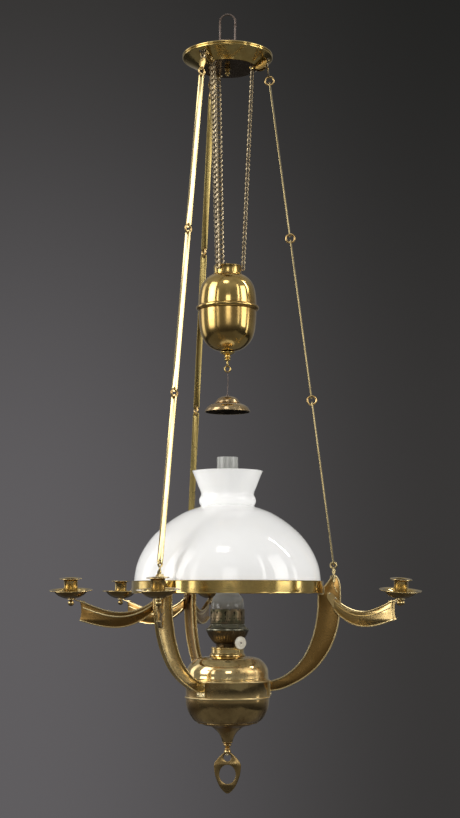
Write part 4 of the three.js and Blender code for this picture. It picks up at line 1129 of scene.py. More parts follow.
@dataclass
class Hanger:
    """The forged iron loop and the plate that it stands on."""

    wire: float = 4.0
    inside: float = 26.0
    plate_radius: float = 24.0
    nut_radius: float = 8.0
    nut_height: float = 7.0
    lean: float = 1.2
    ferrule: float = 3.4

    def build(self) -> None:
        """Makes the loop and the plate."""
        self.loop()
        self.plate()

    def loop(self) -> None:
        """An upside-down U of round iron, its right leg a little bent."""
        half = (self.inside + self.wire) / 2
        crown = self.wire / 2 - half
        foot = LAY.plate_top + GAP
        bend = arc((0.0, crown), half, 180, 0, 24)
        middle = (crown + foot) / 2
        legs = [(-half, foot), (-half, middle)], [(half - self.lean / 3, middle), (half, foot)]
        line = flowing([*legs[0], *bend[::4], *legs[1]], 8)
        path = [(x, 0.12 * sin(z / 6), z) for x, z in line]
        draft = swept(path, circle(self.wire / 2, 16), (0, 1, 0))
        for x in (-half, half):
            ring = lathed(softened([(0, foot), (self.ferrule, foot), (self.ferrule, foot + self.wire / 3),
                (self.wire / 2, foot + self.wire / 2), (0, foot + self.wire / 2)], 0.4, closed=False), 28)
            draft = draft.with_(ring.moved(x))
        make_piece("hanger_loop_iron", draft, Finishes.IRON, Body.CANOPY, ["hanger_loop"])

    def plate(self) -> None:
        """A round plate with a washer and a capped hexagonal nut."""
        low, top = LAY.plate_bottom, LAY.plate_top
        edge = softened([(0, low), (self.plate_radius, low), (self.plate_radius, top),
            (self.nut_radius + self.wire / 2, top), (self.nut_radius + self.wire / 2, top + 0.9),
            (0, top + 0.9)], 0.8, closed=False)
        flat = self.nut_height * 0.5
        hexagon = [(self.nut_radius * cos(t), self.nut_radius * sin(t))
            for t in (i * pi / 3 for i in range(6))]
        nut = plate(hexagon, flat, 0.5).turned(90, "X").moved(z=top + 0.9 + flat / 2)
        dome = lathed([(0, top), (self.nut_radius * 0.78, top + 0.9 + flat * 0.9),
            *oval((0.0, top + 0.9 + flat), (self.nut_radius * 0.76, self.nut_height - flat - 0.9), 0, 90,
            10)[:-1], (0, top + self.nut_height)], 48)
        draft = lathed(edge, 96).with_(nut, dome)
        make_piece("hanger_plate_iron", draft, Finishes.IRON, Body.CANOPY, ["hanger_plate"])


@dataclass
class Canopy:
    """The shallow brass pan with its pulley frame and its finial."""

    floor_radius: float = 56.7
    sheet: float = 1.4
    bead: float = 2.2
    hole: float = 4.5
    slot_half: float = 9.5
    slot_over: float = 5.5
    hub: float = 8.5
    flange_radius: float = 16.0
    flange_height: float = 8.0
    strap: float = 1.8
    strap_offset: float = 8.0
    strap_height: float = 9.0
    boss: float = 2.6
    pin: float = 2.2
    finial_radius: float = 7.0
    finial_length: float = 15.0
    finial_stem: float = 12.0

    def build(self) -> None:
        """Makes the pan, the pulley frame and the finial."""
        self.pan()
        self.spider()
        self.finial()

    def pan(self) -> None:
        """The pan, a cone with a double bead round its rim and three slots for the chains."""
        bead_r = LAY.canopy_radius - self.bead
        wall_top = LAY.rim - 2 * self.bead
        floor = LAY.pan_floor
        outside = softened([(self.hole, floor), (self.floor_radius, floor), (bead_r - 0.4, wall_top)], 1.6,
            closed=False)
        beads = [*arc((bead_r, LAY.rim - self.bead), self.bead, -80, 72, 12),
            *arc((bead_r, LAY.rim + self.bead), self.bead, -72, 150, 14)]
        inside = softened([(bead_r - self.bead, LAY.rim), (bead_r - self.bead, wall_top + self.sheet),
            (self.floor_radius - self.sheet, floor + self.sheet), (self.hole, floor + self.sheet)], 1.0,
            closed=False)
        # The flat floor under the pan takes finish 1, a darker brass that paints its shade.
        draft = lathed([*outside, *beads, *inside], 144).marked_between(floor - 1, floor + self.sheet / 2, 1)
        made = make_piece("canopy_pan", draft, [Finishes.POLISHED, Finishes.SHADED_PLATE], Body.CANOPY,
            ["canopy_shell"])
        start, stop = LAY.chain_in - self.slot_over, LAY.chain_out + self.slot_over
        low, high = floor - self.bead, LAY.rim - self.bead
        rounded = softened([(-self.slot_half, start), (self.slot_half, start), (self.slot_half, stop),
            (-self.slot_half, stop)], 3.0)
        punch = plate(rounded, high - low, 0.05).turned(90, "X").turned(90)
        cut_away(made, [punch.moved(z=(low + high) / 2).turned(angle) for angle in ARM_ANGLES])

    def spider(self) -> None:
        """The iron frame: a turned hub with three pairs of straps and their axles."""
        top, low = LAY.plate_bottom - GAP, LAY.pan_floor + self.sheet + GAP
        deck = LAY.pulley_z + self.flange_height / 2
        draft = lathed(softened([(0, low), (self.hub, low), (self.hub, deck - self.flange_height),
            (self.flange_radius, deck - self.flange_height), (self.flange_radius, deck), (self.hub, deck),
            (self.hub, top), (0, top)], 0.9, closed=False), 64)
        outline = softened([(self.hub, LAY.pulley_z + self.flange_height / 2),
            (self.hub, LAY.pulley_z - self.flange_height / 2), (LAY.chain_in, LAY.pulley_z - self.boss),
            *arc((LAY.pulley_r, LAY.pulley_z), self.boss, -90, 90, 8),
            (LAY.chain_in, LAY.pulley_z + self.strap_height / 2)], 1.5)
        strap = plate(outline, self.strap, 0.35)
        half = self.strap_offset + self.strap / 2
        axle = lathed(softened([(0, -half - 1), (self.pin * 1.4, -half - 1), (self.pin * 1.4, -half),
            (self.pin, -half), (self.pin, half), (self.pin * 1.4, half), (self.pin * 1.4, half + 1),
            (0, half + 1)], 0.4, closed=False), 24)
        axle = axle.turned(90, "X").moved(LAY.pulley_r, 0, LAY.pulley_z)
        for angle in ARM_ANGLES:
            pair = strap.moved(y=self.strap_offset).with_(strap.moved(y=-self.strap_offset), axle)
            draft = draft.with_(pair.turned(angle))
        make_piece("pulley_frame_iron", draft, Finishes.IRON, Body.CANOPY, ["pulley_spider"])

    def finial(self) -> None:
        """A turned finial of two balls on a flange."""
        top = LAY.pan_floor - GAP
        r, length = self.finial_radius, self.finial_length
        profile = [(0, top + self.finial_stem), (r * 0.5, top + self.finial_stem), (r * 0.5, top),
            *oval((r * 0.82, top - 0.7), (r * 0.18, 0.7), 90, -90, 6), (r * 0.55, top - length * 0.115),
            *oval((0.0, top - length * 0.24), (r * 0.75, length * 0.115), 35, -50, 10),
            (r * 0.42, top - length * 0.36), *oval((0.0, top - length * 0.62), (r * 0.8, length * 0.25), 58,
            -62, 16), (r * 0.3, top - length * 0.88), *oval((0.0, top - length * 0.93),
            (r * 0.3, length * 0.07), 10, -90, 6)[:-1], (0, top - length)]
        make_piece("canopy_finial_turned", lathed(profile, 72), Finishes.AGED, Body.CANOPY,
            ["canopy_finial"])


@dataclass
class Pulleys:
    """The three grooved wheels."""

    width: float = 13.6
    flange: float = 1.0
    rim_over: float = 1.5
    bore: float = 2.5
    boss: float = 5.0
    recess: float = 0.7

    def build(self) -> None:
        """Makes the three wheels."""
        half, inside = self.width / 2, self.width / 2 - self.flange
        groove = LAY.pulley_pitch - LAY.chain_thickness / 2 - GAP
        rim = LAY.pulley_pitch + self.rim_over
        side = [(self.bore, half), (self.boss, half), (self.boss + 0.6, half - self.recess),
            (groove - 0.9, half - self.recess), (groove - 0.3, half), (rim, half), (rim, inside)]
        floor = oval((groove + self.flange, 0.0), (self.flange, inside), 100, 260, 10)
        low = [(r, -z) for r, z in reversed(side)]
        wheel = lathed(softened([*side, *floor, *low], 0.3), 72).turned(90, "X")
        for number, (body, angle) in enumerate(zip(PULLEY_BODIES, ARM_ANGLES), 1):
            placed = wheel.moved(LAY.pulley_r, 0, LAY.pulley_z).turned(angle)
            make_piece(f"pulley_wheel_{number}", placed, Finishes.AGED, body, [f"pulley_{number}"])


# Chains and rods


@dataclass
class LiftChains:
    """Loop-in-loop chains, from the counterweight over the pulleys to the rod lines."""

    pinch: float = 1.0
    swell: float = 10.2
    belly: float = 5.4
    link_length: float = 11.3
    wire: float = 1.8
    pitch: float = 9.6
    collar_radius: float = 26.3
    travel: float = 350.0
    gather: float = 8.0
    around: int = 24
    sides: int = 6

    def build(self) -> None:
        """Makes an inner run, a stretch over the pulley and an outer run for each line."""
        for number, angle in enumerate(ARM_ANGLES, 1):
            self.inner_run(number, angle)
            self.over_pulley(number, angle)
            self.outer_run(number, angle)

    def link(self) -> Draft:
        """One ring, pinched and folded into a U; the fold of the next link runs through both its loops."""
        path = []
        for i in range(self.around):
            t = 2 * pi * i / self.around
            s, c = sin(t), cos(t)
            path.append((s * (self.pinch + self.swell * c * c), c * (self.wire / 2 + self.belly * s * s),
                self.link_length * (c * c - 0.5)))
        return swept(path, circle(self.wire / 2, self.sides), (1, 0, 0), closed=True)

    def inner_run(self, number: int, angle: float) -> None:
        """The run from the counterweight to the pulley, which closes up as the weight rises."""
        foot = self.collar_radius + LAY.chain_thickness / 2 + GAP
        low = LAY.weight_top - LAY.chain_seat
        ends = [axis_shift(angle, foot, low), axis_shift(angle, LAY.chain_in, LAY.pulley_z)]
        across = axis_shift(angle + 90, 1.0)
        run = Repeats.line_of(f"chain_inner_{number}", self.link(), ends, self.pitch, across,
            Finishes.CHAIN)
        settle(run, Body.CANOPY, [f"lift_chain_{number}"])
        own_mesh(run)

    def over_pulley(self, number: int, angle: float) -> None:
        """The few links that lie in the groove of the pulley."""
        line = arc((LAY.pulley_r, LAY.pulley_z), LAY.pulley_pitch, 176, 34, 40)
        path = [axis_shift(angle, r, z) for r, z in line]
        links = Repeats.line_of(f"chain_over_pulley_{number}", self.link(), path, self.pitch * 0.9,
            axis_shift(angle + 90, 1.0), Finishes.CHAIN)
        settle(links, Body.CANOPY, [f"lift_chain_{number}"])

    def outer_run(self, number: int, angle: float) -> None:
        """The run that is drawn out of the pulley as the lamp comes down."""
        top = LAY.pulley_z + self.gather
        foot = LAY.line_top[1] + (LAY.ring_mean / 2 + RodLines.tab_length
            - RodLines.tab_inset) * cos(LAY.line_slope) + self.link_length / 4
        count = round((top - foot + self.travel) / self.pitch)
        step = (top - foot + self.travel) / count
        width = axis_shift(angle + 90, 1.0)
        places = [(axis_shift(angle, LAY.chain_out, foot - self.travel + step * i), Vector((0, 0, 1)),
            width) for i in range(count + 1)]
        run = Repeats.copies_at(f"chain_outer_{number}", self.link(), places, Finishes.CHAIN)
        shares = np.linspace(0, 1, 400)
        smooth = shares ** 2 * (3 - 2 * shares)
        down = -(top - self.gather * shares - self.travel * smooth)
        rest = top - self.gather * shares
        for vertex in run.data.vertices:
            height = vertex.co.z / MM
            if height < -down[-1]:
                vertex.co.z = (height + self.travel) * MM
            elif height < top:
                vertex.co.z = float(np.interp(-height, down, rest)) * MM
        settle(run, None, [f"lift_chain_{number}"])
        ends = [axis_shift(angle, LAY.chain_out, z) * MM for z in (top, LAY.pulley_z)]
        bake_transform(run)


@dataclass
class RodLines:
    """Three lines of flat rods and rings, each under a leaf-shaped tab."""

    width: float = 12.6
    thickness: float = 3.0
    bevel: float = 1.0
    wire: float = 3.6
    hole_clear: float = 0.75
    tab_width: float = 16.0
    tab_length: float = 25.0
    tab_thickness: float = 2.0
    tab_inset: float = 3.6
    darker_rod: int = 2

    def build(self) -> None:
        """Makes the tabs, the rods and the rings."""
        for number, angle in enumerate(ARM_ANGLES, 1):
            self.tab(number, angle)
            for place in range(LAY.rods):
                self.rod(number, place, angle)

    def placed(self, draft: Draft, angle: float) -> Draft:
        """Moves a draft from a line's own frame to its place on the lamp."""
        r, z = LAY.line_top
        lean = Matrix.Rotation(-LAY.line_slope, 4, "Y")
        turn = Matrix.Rotation(radians(angle), 4, "Z")
        return draft.placed(turn @ Matrix.Translation((r, 0, z)) @ lean)

    def tab(self, number: int, angle: float) -> None:
        """The leaf-shaped tab, which the chain ends on and the highest ring goes through."""
        hole = LAY.ring_mean / 2
        foot = hole - self.tab_inset
        half = self.tab_width / 2
        right = [(0, foot), (half * 0.42, foot + 1.6), (half * 0.93, foot + self.tab_length * 0.5),
            (half * 0.96, foot + self.tab_length * 0.68), (half * 0.7, foot + self.tab_length * 0.92),
            (0, foot + self.tab_length)]
        outline = flowing([*right, *((-x, z) for x, z in reversed(right[1:-1]))], 6, closed=True)
        eye = arc((0.0, hole), self.wire / 2 + self.hole_clear, 0, 345, 23)
        leaf = plate(outline, self.tab_thickness, 0.45, [eye]).turned(90)
        rivet = lathed([(0, -2.2), *oval((0.0, 0.9), (2.6, 1.3), 0, 90, 6)[:-1], (0, 2.2)], 24)
        rivet = rivet.turned(90, "Y").moved(z=foot + self.tab_length * 0.78)
        make_piece(f"chain_tab_leaf_{number}", self.placed(leaf.with_(rivet), angle), Finishes.AGED,
            Body.LAMP, [f"chain_tab_{number}"])

    def rod(self, number: int, place: int, angle: float) -> None:
        """One flat rod with the ring above it."""
        ring_z = -place * LAY.ring_pitch
        top = ring_z - LAY.ring_mean / 2
        low = top - LAY.hole_spacing
        half = self.width / 2
        outline = softened([*arc((0.0, top), half, 0, 180, 16), (-half * 0.985, (top + low) / 2),
            *arc((0.0, low), half, 180, 360, 16), (half * 0.985, (top + low) / 2)], 0.5)
        radius = self.wire / 2 + self.hole_clear
        holes = [arc((0.0, z), radius, 0, 345, 23) for z in (top, low)]
        strip = plate(outline, self.thickness, self.bevel, holes).turned(90)
        eye = torus(LAY.ring_mean, self.wire, 56, 14).moved(z=ring_z).marked(1)
        # The rods of the second line are drawn in the darker brass, the others in the pale one.
        make_piece(f"flat_rod_{number}_{place + 1}", self.placed(strip.with_(eye), angle),
            [Finishes.DARKER_ROD if number == self.darker_rod else Finishes.PALE, Finishes.RING], Body.LAMP,
            [f"rod_{number}_{place + 1}"])


@dataclass
class Hooks:
    """The three hooks: an eye on a flat shank that twists down on to the arm."""

    shank_width: float = 7.6
    shank_thickness: float = 2.2
    tail_end: float = 13.0
    tail_side: float = -3.5
    strand: float = 1.3

    def build(self) -> None:
        """Makes the three hooks."""
        eye = torus(LAY.hook_loop, LAY.hook_wire, 48, 14).moved(LAY.hook_r, 0, LAY.hook_z)
        start = LAY.hook_z - LAY.hook_loop / 2
        stop = LAY.apex - self.tail_end
        steps = 22
        path, outlines = [], []
        for i in range(steps + 1):
            t = i / steps
            ease = t * t * (3 - 2 * t)
            path.append((LAY.hook_r + 0.8 * sin(pi * t), self.tail_side * ease, start + (stop - start) * t))
            swell = 0.5 + 0.5 * min(1.0, 3.2 * t) - 0.35 * max(0.0, (t - 0.82) / 0.18)
            half, thick = self.shank_width / 2 * swell, self.shank_thickness / 2
            turn = radians(200 * ease - 20)
            ring = [(half * cos(a) * abs(cos(a)) ** -0.4 if abs(cos(a)) > 1e-6 else 0.0, thick * sin(a))
                for a in np.linspace(0, 2 * pi, 16, endpoint=False)]
            outlines.append([(u * cos(turn) - v * sin(turn), u * sin(turn) + v * cos(turn)) for u,
                v in ring])
        shank = swept(path, np.array(outlines), (1, 0, 0))
        route = flowing([(LAY.hook_r + 0.5, stop + 2), (LAY.hook_r + 0.5, stop - 6),
            (LAY.hook_r + 3.4, stop - 13), (LAY.hook_r + 6.6, stop - 18.5)], 6)
        strand = swept([(x, self.tail_side, z) for x, z in route], circle(self.strand / 2 + 0.2, 10),
            (0, 1, 0))
        for number, angle in enumerate(ARM_ANGLES, 1):
            make_piece(f"twisted_hook_{number}", eye.with_(shank, strand).turned(angle), Finishes.PALE,
                Body.LAMP, [f"rod_hook_{number}"])


# Counterweight and smoke bell


@dataclass
class Counterweight:
    """The barrel of spun brass with its collar, its seam band and its finial."""

    collar_radius: float = 26.3
    collar_sheet: float = 1.6
    chain_hole: float = 5.0
    radius: float = 55.3
    sheet: float = 1.5
    band_height: float = 9.0
    band_out: float = 5.2
    ballast_drop: float = 14.0
    finial_radius: float = 14.5
    finial_length: float = 18.0
    eye_mean: float = 11.0
    eye_wire: float = 2.6
    upper_shares: Shares = ((1, 0), (0.995, 0.2), (0.965, 0.44), (0.92, 0.6), (0.85, 0.73), (0.75, 0.845),
        (0.62, 0.935), (0.48, 0.985), (0.393, 1))
    lower_shares: Shares = ((1, 0.06), (0.995, 0.2), (0.975, 0.38), (0.94, 0.54), (0.87, 0.68),
        (0.76, 0.79), (0.61, 0.885), (0.42, 0.955), (0.2, 0.99), (0.06, 1))

    def build(self) -> None:
        """Makes the collar, the shells, the filling, the finial and its eyes."""
        self.collar()
        self.upper()
        self.lower()
        self.ballast()
        self.finial()

    def collar(self) -> None:
        """A short drum with a rolled lip and three chain holes."""
        r, low, top = self.collar_radius, LAY.collar_bottom + GAP, LAY.weight_top
        inner = r - self.collar_sheet
        lip = arc((r - 0.3, top - 1.0), 1.0, -60, 130, 8)
        ring = softened([(inner, low), (r + 0.8, low), (r + 0.8, low + 1.4), (r, low + 1.8),
            (r, top - 2.2)], 0.4, closed=False)
        made = make_piece("weight_collar_drum", lathed([*ring, *lip, (inner, top - 1.6)], 120),
            Finishes.POLISHED, Body.WEIGHT, ["weight_collar"])
        drill = lathed([(0, 0), (self.chain_hole / 2, 0), (self.chain_hole / 2, r + 6), (0, r + 6)], 24)
        drill = drill.turned(90, "Y").moved(z=top - 2 * LAY.chain_seat)
        cut_away(made, [drill.turned(angle) for angle in ARM_ANGLES])

    def upper(self) -> None:
        """The upper shell, up to its flat top."""
        split = LAY.band + self.band_height / 2 + GAP
        rise = LAY.collar_bottom - split
        outside = flowing([(self.radius * x, split + rise * z) for x, z in self.upper_shares], 5)
        make_piece("weight_upper_spun", lathed(shell(outside, self.sheet), 144), Finishes.BARREL,
            Body.WEIGHT, ["weight_upper_shell"])

    def lower(self) -> None:
        """The lower shell with the rolled band over the seam."""
        r, half = self.radius, self.band_height / 2
        outside = flowing([(r * x, LAY.band - LAY.lower_height * z) for x,
            z in reversed(self.lower_shares)], 5)
        lip = softened([(r + 1.2, LAY.band - half - 1.1), (r + 1.8, LAY.band - half - 0.2)], 0.4,
            closed=False)
        roll = oval((r, LAY.band), (self.band_out, half), -72, 72, 20)
        crease = [(r + 1.9, LAY.band + half - 0.1), (r + 1.6, LAY.band + half + 0.0), (r, LAY.band + half)]
        profile = [*outside, *lip, *roll, *crease, (r - self.sheet, LAY.band + half),
            *reversed(beside(outside, self.sheet))]
        make_piece("weight_lower_spun", lathed(profile, 144), Finishes.BARREL, Body.WEIGHT,
            ["weight_lower_shell"])

    def ballast(self) -> None:
        """The cast filling, seen only through the neck of the collar."""
        top = LAY.collar_bottom - self.ballast_drop
        low = LAY.weight_bottom + 3 * self.sheet + 4
        wall = self.radius * 0.8
        profile = softened([(0, low), (wall * 0.7, low), (wall, LAY.band), (wall * 0.85, top), (0, top)],
            4.0, closed=False)
        make_piece("weight_filling", lathed(profile, 72), Finishes.LEAD, Body.WEIGHT, ["weight_ballast"])

    def finial(self) -> None:
        """A dish, two beads and the two crossed eyes that the bell hangs from."""
        top = LAY.weight_bottom - GAP
        r, length = self.finial_radius, self.finial_length
        profile = [(0, top + 4), (r * 0.2, top + 4), (r * 0.2, top), (r * 0.9, top),
            *oval((r * 0.95, top - 0.9), (r * 0.05, 0.9), 90, -60, 6),
            *flowing([(r * 0.9, top - 2.0), (r * 0.62, top - 4.6), (r * 0.36, top - 6.6),
            (r * 0.33, top - 7.4)], 5), *oval((0.0, top - length * 0.56), (r * 0.49, length * 0.125), 45,
            -50, 10), (r * 0.27, top - length * 0.71), *oval((0.0, top - length * 0.84),
            (r * 0.44, length * 0.13), 50, -90, 14)[:-1], (0, top - length * 0.97)]
        draft = lathed(profile, 84)
        high = top - length - self.eye_mean / 2 + self.eye_wire / 2
        low = high - self.eye_mean
        draft = draft.with_(torus(self.eye_mean, self.eye_wire, 40, 12).turned(90).moved(z=high),
            torus(self.eye_mean, self.eye_wire, 40, 12).moved(z=low))
        make_piece("weight_finial_turned", draft, Finishes.POLISHED, Body.WEIGHT, ["weight_finial"])


@dataclass
class SmokeBell:
    """The thin bell that hangs under the counterweight on a bent wire."""

    weight: Counterweight
    radius: float = 43.6
    height: float = 31.0
    sheet: float = 1.2
    wire: float = 1.6
    wire_length: float = 44.0
    eye_mean: float = 4.6
    bow: float = 1.4
    dome_shares: Shares = ((0.045, 0), (0.13, 0.01), (0.27, 0.055), (0.4, 0.15), (0.48, 0.28),
        (0.515, 0.38))
    skirt_shares: Shares = ((0.555, 0.475), (0.63, 0.5), (0.745, 0.56), (0.865, 0.67), (0.94, 0.8),
        (0.975, 0.92), (0.99, 0.96))

    def build(self) -> None:
        """Makes the wire and the bell."""
        w = self.weight
        hang = (LAY.weight_bottom - GAP - w.finial_length - 1.5 * w.eye_mean + w.eye_wire / 2
            - w.eye_mean / 2)
        eye = hang + w.eye_wire / 2 + GAP + self.wire / 2 - self.eye_mean / 2
        foot = eye - self.eye_mean / 2
        top = foot - self.wire_length
        spots = np.linspace(0, 1, 24)
        path = [(self.bow * sin(pi * t) * cos(2.2 * t), self.bow * 0.5 * sin(2 * pi * t),
            foot + (top - foot - 4) * t) for t in spots]
        draft = swept(path, circle(self.wire / 2, 10), (1, 0, 0))
        draft = draft.with_(torus(self.eye_mean, self.wire, 28, 10).turned(90).moved(z=eye))
        nut = lathed(softened([(0, 0), (3.2, 0), (3.2, 1.6), (1.6, 2.4), (0, 2.4)], 0.4, closed=False), 32)
        draft = draft.with_(nut.moved(z=top + 0.2), nut.turned(180, "X").moved(z=top - self.sheet - 0.2))
        make_piece("bell_wire_bent", draft, Finishes.IRON, Body.BELL, ["bell_wire"])

        dome, skirt = ([(self.radius * x, top - self.height * z) for x, z in shares]
            for shares in (self.dome_shares, self.skirt_shares))
        bead = arc((dome[-1][0] + 0.6, (dome[-1][1] + skirt[0][1]) / 2), 1.3, 100, -80, 8)
        line = [*flowing(dome, 6), *bead, *flowing(skirt, 6)]
        rim = arc((self.radius - 0.9, top - self.height + 0.9), 0.9, 30, -150, 8)
        inside = [(r - self.sheet * 0.8, z - self.sheet) for r, z in reversed(line[6:-3])]
        cap = [(1.0, top - self.sheet), (1.0, top)]
        draft = lathed([*line, *rim, *inside, *cap], 120)
        middle = [(r - self.sheet * 0.4, z - self.sheet / 2) for r, z in line[6:-3]]
        soot = lathed([*middle, *((r - self.sheet * 0.6, z - self.sheet * 0.8) for r,
            z in reversed(middle))], 120)
        make_piece("smoke_bell_spun", draft.with_(soot.marked(1)), [Finishes.COPPERY, Finishes.SOOT_AND_SHADE],
            Body.BELL, ["smoke_bell"])


# Arms and shade ring


def edge_band(line: Sequence[Point2], sheet: float, width: float, lip: float, side: int) -> Draft:
    """A flange along a line: a flat strip with a raised bead along both of its edges.

    Args:
        line: The outer face of the flange, in X and Z.
        sheet: Its thickness.
        width: Its width across Y.
        lip: The width of each raised edge.
        side: +1 where the flange lies to the left of the line, -1 to the right.

    Returns:
        The draft of the flange.
    """
    strip = [*beside(line, side * sheet * 0.3), *reversed(beside(line, side * sheet))]
    bead = [*line, *reversed(beside(line, side * sheet * 0.9))]
    rise = (width - lip) / 2
    base = plate(strip, width - lip * 0.6, 0.12)
    edge = plate(bead, lip, lip * 0.28)
    return base.with_(edge.moved(y=rise), edge.moved(y=-rise))


@dataclass
class MainArms:
    """The three cast arms, a web between two flanges, with their pads on the cup."""

    hook_inset: float = 4.5
    web: float = 4.0
    flange: float = 9.0
    flange_sheet: float = 2.6
    lip: float = 1.3
    waist: float = 44.0
    foot_sheet: float = 3.0
    foot_width: float = 18.0
    foot_height: float = 25.5
    cup_bead: float = 1.4
    screw_across: float = 6.7
    screw_rise_share: float = 0.33
    screw_size: Point2 = (2.1, 1.1)
    outer_shares: Shares = ((0.965, 0.026), (0.994, 0.085), (1, 0.18), (0.994, 0.29), (0.974, 0.39),
        (0.935, 0.5), (0.84, 0.64), (0.68, 0.78), (0.5, 0.875), (0.32, 0.94), (0.14, 0.985))
    inner_shares: Shares = ((1, 0), (0.99, 0.18), (0.955, 0.33), (0.885, 0.49), (0.76, 0.66), (0.6, 0.79),
        (0.42, 0.885), (0.22, 0.955))

    @property
    def cup_r(self) -> float:
        """Radius of the pads' outer faces."""
        return LAY.cup_radius + GAP + self.foot_sheet

    def edges(self) -> tuple[list[Point2], list[Point2], list[Point2]]:
        """The outer edge, the inner edge down to the shelf, and the inner edge below it."""
        depth = LAY.apex - LAY.foot
        left = LAY.hook_r - self.hook_inset
        span = LAY.arm_outer - self.cup_r
        outer = flowing([(left + LAY.apex_width, LAY.apex), *((self.cup_r + span * x, LAY.apex - depth * z)
            for x, z in self.outer_shares), (self.cup_r - self.foot_sheet / 2, LAY.foot)], 5)
        face = LAY.ring_radius + GAP
        shelf = LAY.ring_bottom - GAP
        ogee = LAY.ring_bottom + LAY.ring_height / 2
        high = flowing([(left, LAY.apex), (left - self.hook_inset / 3, LAY.apex - self.hook_inset),
            ((left + face) / 2, (LAY.apex + ogee - self.hook_inset) / 2), (face, ogee)], 8)
        high = [*high, (face, shelf)]
        low_z = LAY.foot + LAY.foot_depth
        reach = face - self.waist / 4 - self.cup_r
        low = flowing([*((self.cup_r + reach * x, shelf - (shelf - low_z) * z) for x,
            z in self.inner_shares), (self.cup_r - self.foot_sheet / 2, low_z)], 5)
        return outer, high, low

    def build(self) -> None:
        """Makes the three arms and all their screws."""
        outer, high, low = self.edges()
        web = plate([*outer, *reversed([*high, *low])], self.web, 0.3)
        outside = edge_band(outer, self.flange_sheet, self.flange, self.lip, -1)
        upper = edge_band(high, self.flange_sheet, self.flange, self.lip, 1)
        shelf = [high[-1], low[0]]
        step = edge_band(shelf, self.flange_sheet, self.flange, self.lip, 1)
        lower = edge_band(low, self.flange_sheet, self.flange, self.lip, 1)
        # The flanges, pad and cap take finish 1, the pale brass that paints highlights along the edges.
        bright = outside.with_(upper, step, lower, self.pad(), self.cap()).marked(1)
        arm = web.with_(bright)
        for number, angle in enumerate(ARM_ANGLES, 1):
            # Painted light and shade: the front-left arm's web gets the lit copy of the brass, the others
            # the shaded one.
            lit_or_shaded_web = Finishes.LIT_ARM_FACE if number == len(ARM_ANGLES) else Finishes.SHADED_ARM_WEB
            make_piece(f"cast_arm_{number}", arm.turned(angle), [lit_or_shaded_web, Finishes.ARM_EDGE_HIGHLIGHT], Body.LAMP,
                [f"main_arm_{number}"])
        self.screws()

    def pad(self) -> Draft:
        """The pad that lies round the cup's band."""
        r = self.cup_r - self.foot_sheet / 2
        z = LAY.cup_top - 2 * self.cup_bead - GAP - self.foot_height / 2
        spread = degrees(self.foot_width / 2 / r)
        path = [(x, y, z) for x, y in arc((0.0, 0.0), r, -spread, spread, 8)]
        half, rise = self.foot_sheet / 2, self.foot_height / 2
        section = softened([(-rise, -half), (rise, -half), (rise, half), (-rise, half)], 0.8)
        return swept(path, np.array(section), (0, 0, 1))

    def cap(self) -> Draft:
        """The small block at the apex, which the hook goes into."""
        height = self.flange_sheet + 3.4
        width = LAY.apex_width
        outline = softened([(-width / 2, 0), (width / 2, 0), (width / 2, height), (-width / 2, height)], 1.2)
        head = plate(outline, self.flange, 0.6)
        return head.moved(LAY.hook_r - self.hook_inset + width / 2, 0, LAY.apex - height)

    def screws(self) -> None:
        """Four screws through each pad."""
        z = LAY.cup_top - 2 * self.cup_bead - GAP - self.foot_height / 2
        places = []
        for angle, side, rise in product(ARM_ANGLES, (-1, 1), (-1, 1)):
            turn = angle + side * degrees(self.screw_across / self.cup_r)
            spot = axis_shift(turn, self.cup_r - 0.1, z + rise * self.foot_height * self.screw_rise_share)
            tilt = radians(35 * rise + 50 * side)
            places.append((spot, axis_shift(turn, 1.0), axis_shift(turn + 90, cos(tilt), sin(tilt))))
        made = Repeats.copies_at("pad_screws", screw_head(*self.screw_size), places, Finishes.SCREW)
        settle(made, Body.LAMP)


@dataclass
class ShadeRing:
    """The flat polished ring that carries the shade on an inner ledge."""

    ledge: float = 14.0
    ledge_sheet: float = 1.8

    def build(self) -> None:
        """Makes the ring."""
        outer, low, top = LAY.ring_radius, LAY.ring_bottom, LAY.ring_bottom + LAY.ring_height
        inner, ledge_r = outer - LAY.ring_sheet, outer - self.ledge
        seat = top - LAY.ledge_drop
        profile = softened([(outer - 0.5, low), (outer, low + 0.6), (outer - 0.25, low + 1.6),
            (outer - 0.25, top - 1.6), (outer, top - 0.7), (outer - 0.6, top), (inner, top), (inner, seat),
            (ledge_r, seat), (ledge_r, seat - self.ledge_sheet), (inner, seat - self.ledge_sheet),
            (inner, low)], 0.35)
        make_piece("shade_ring_band", lathed(profile, 216), Finishes.POLISHED, Body.LAMP, ["shade_ring"])


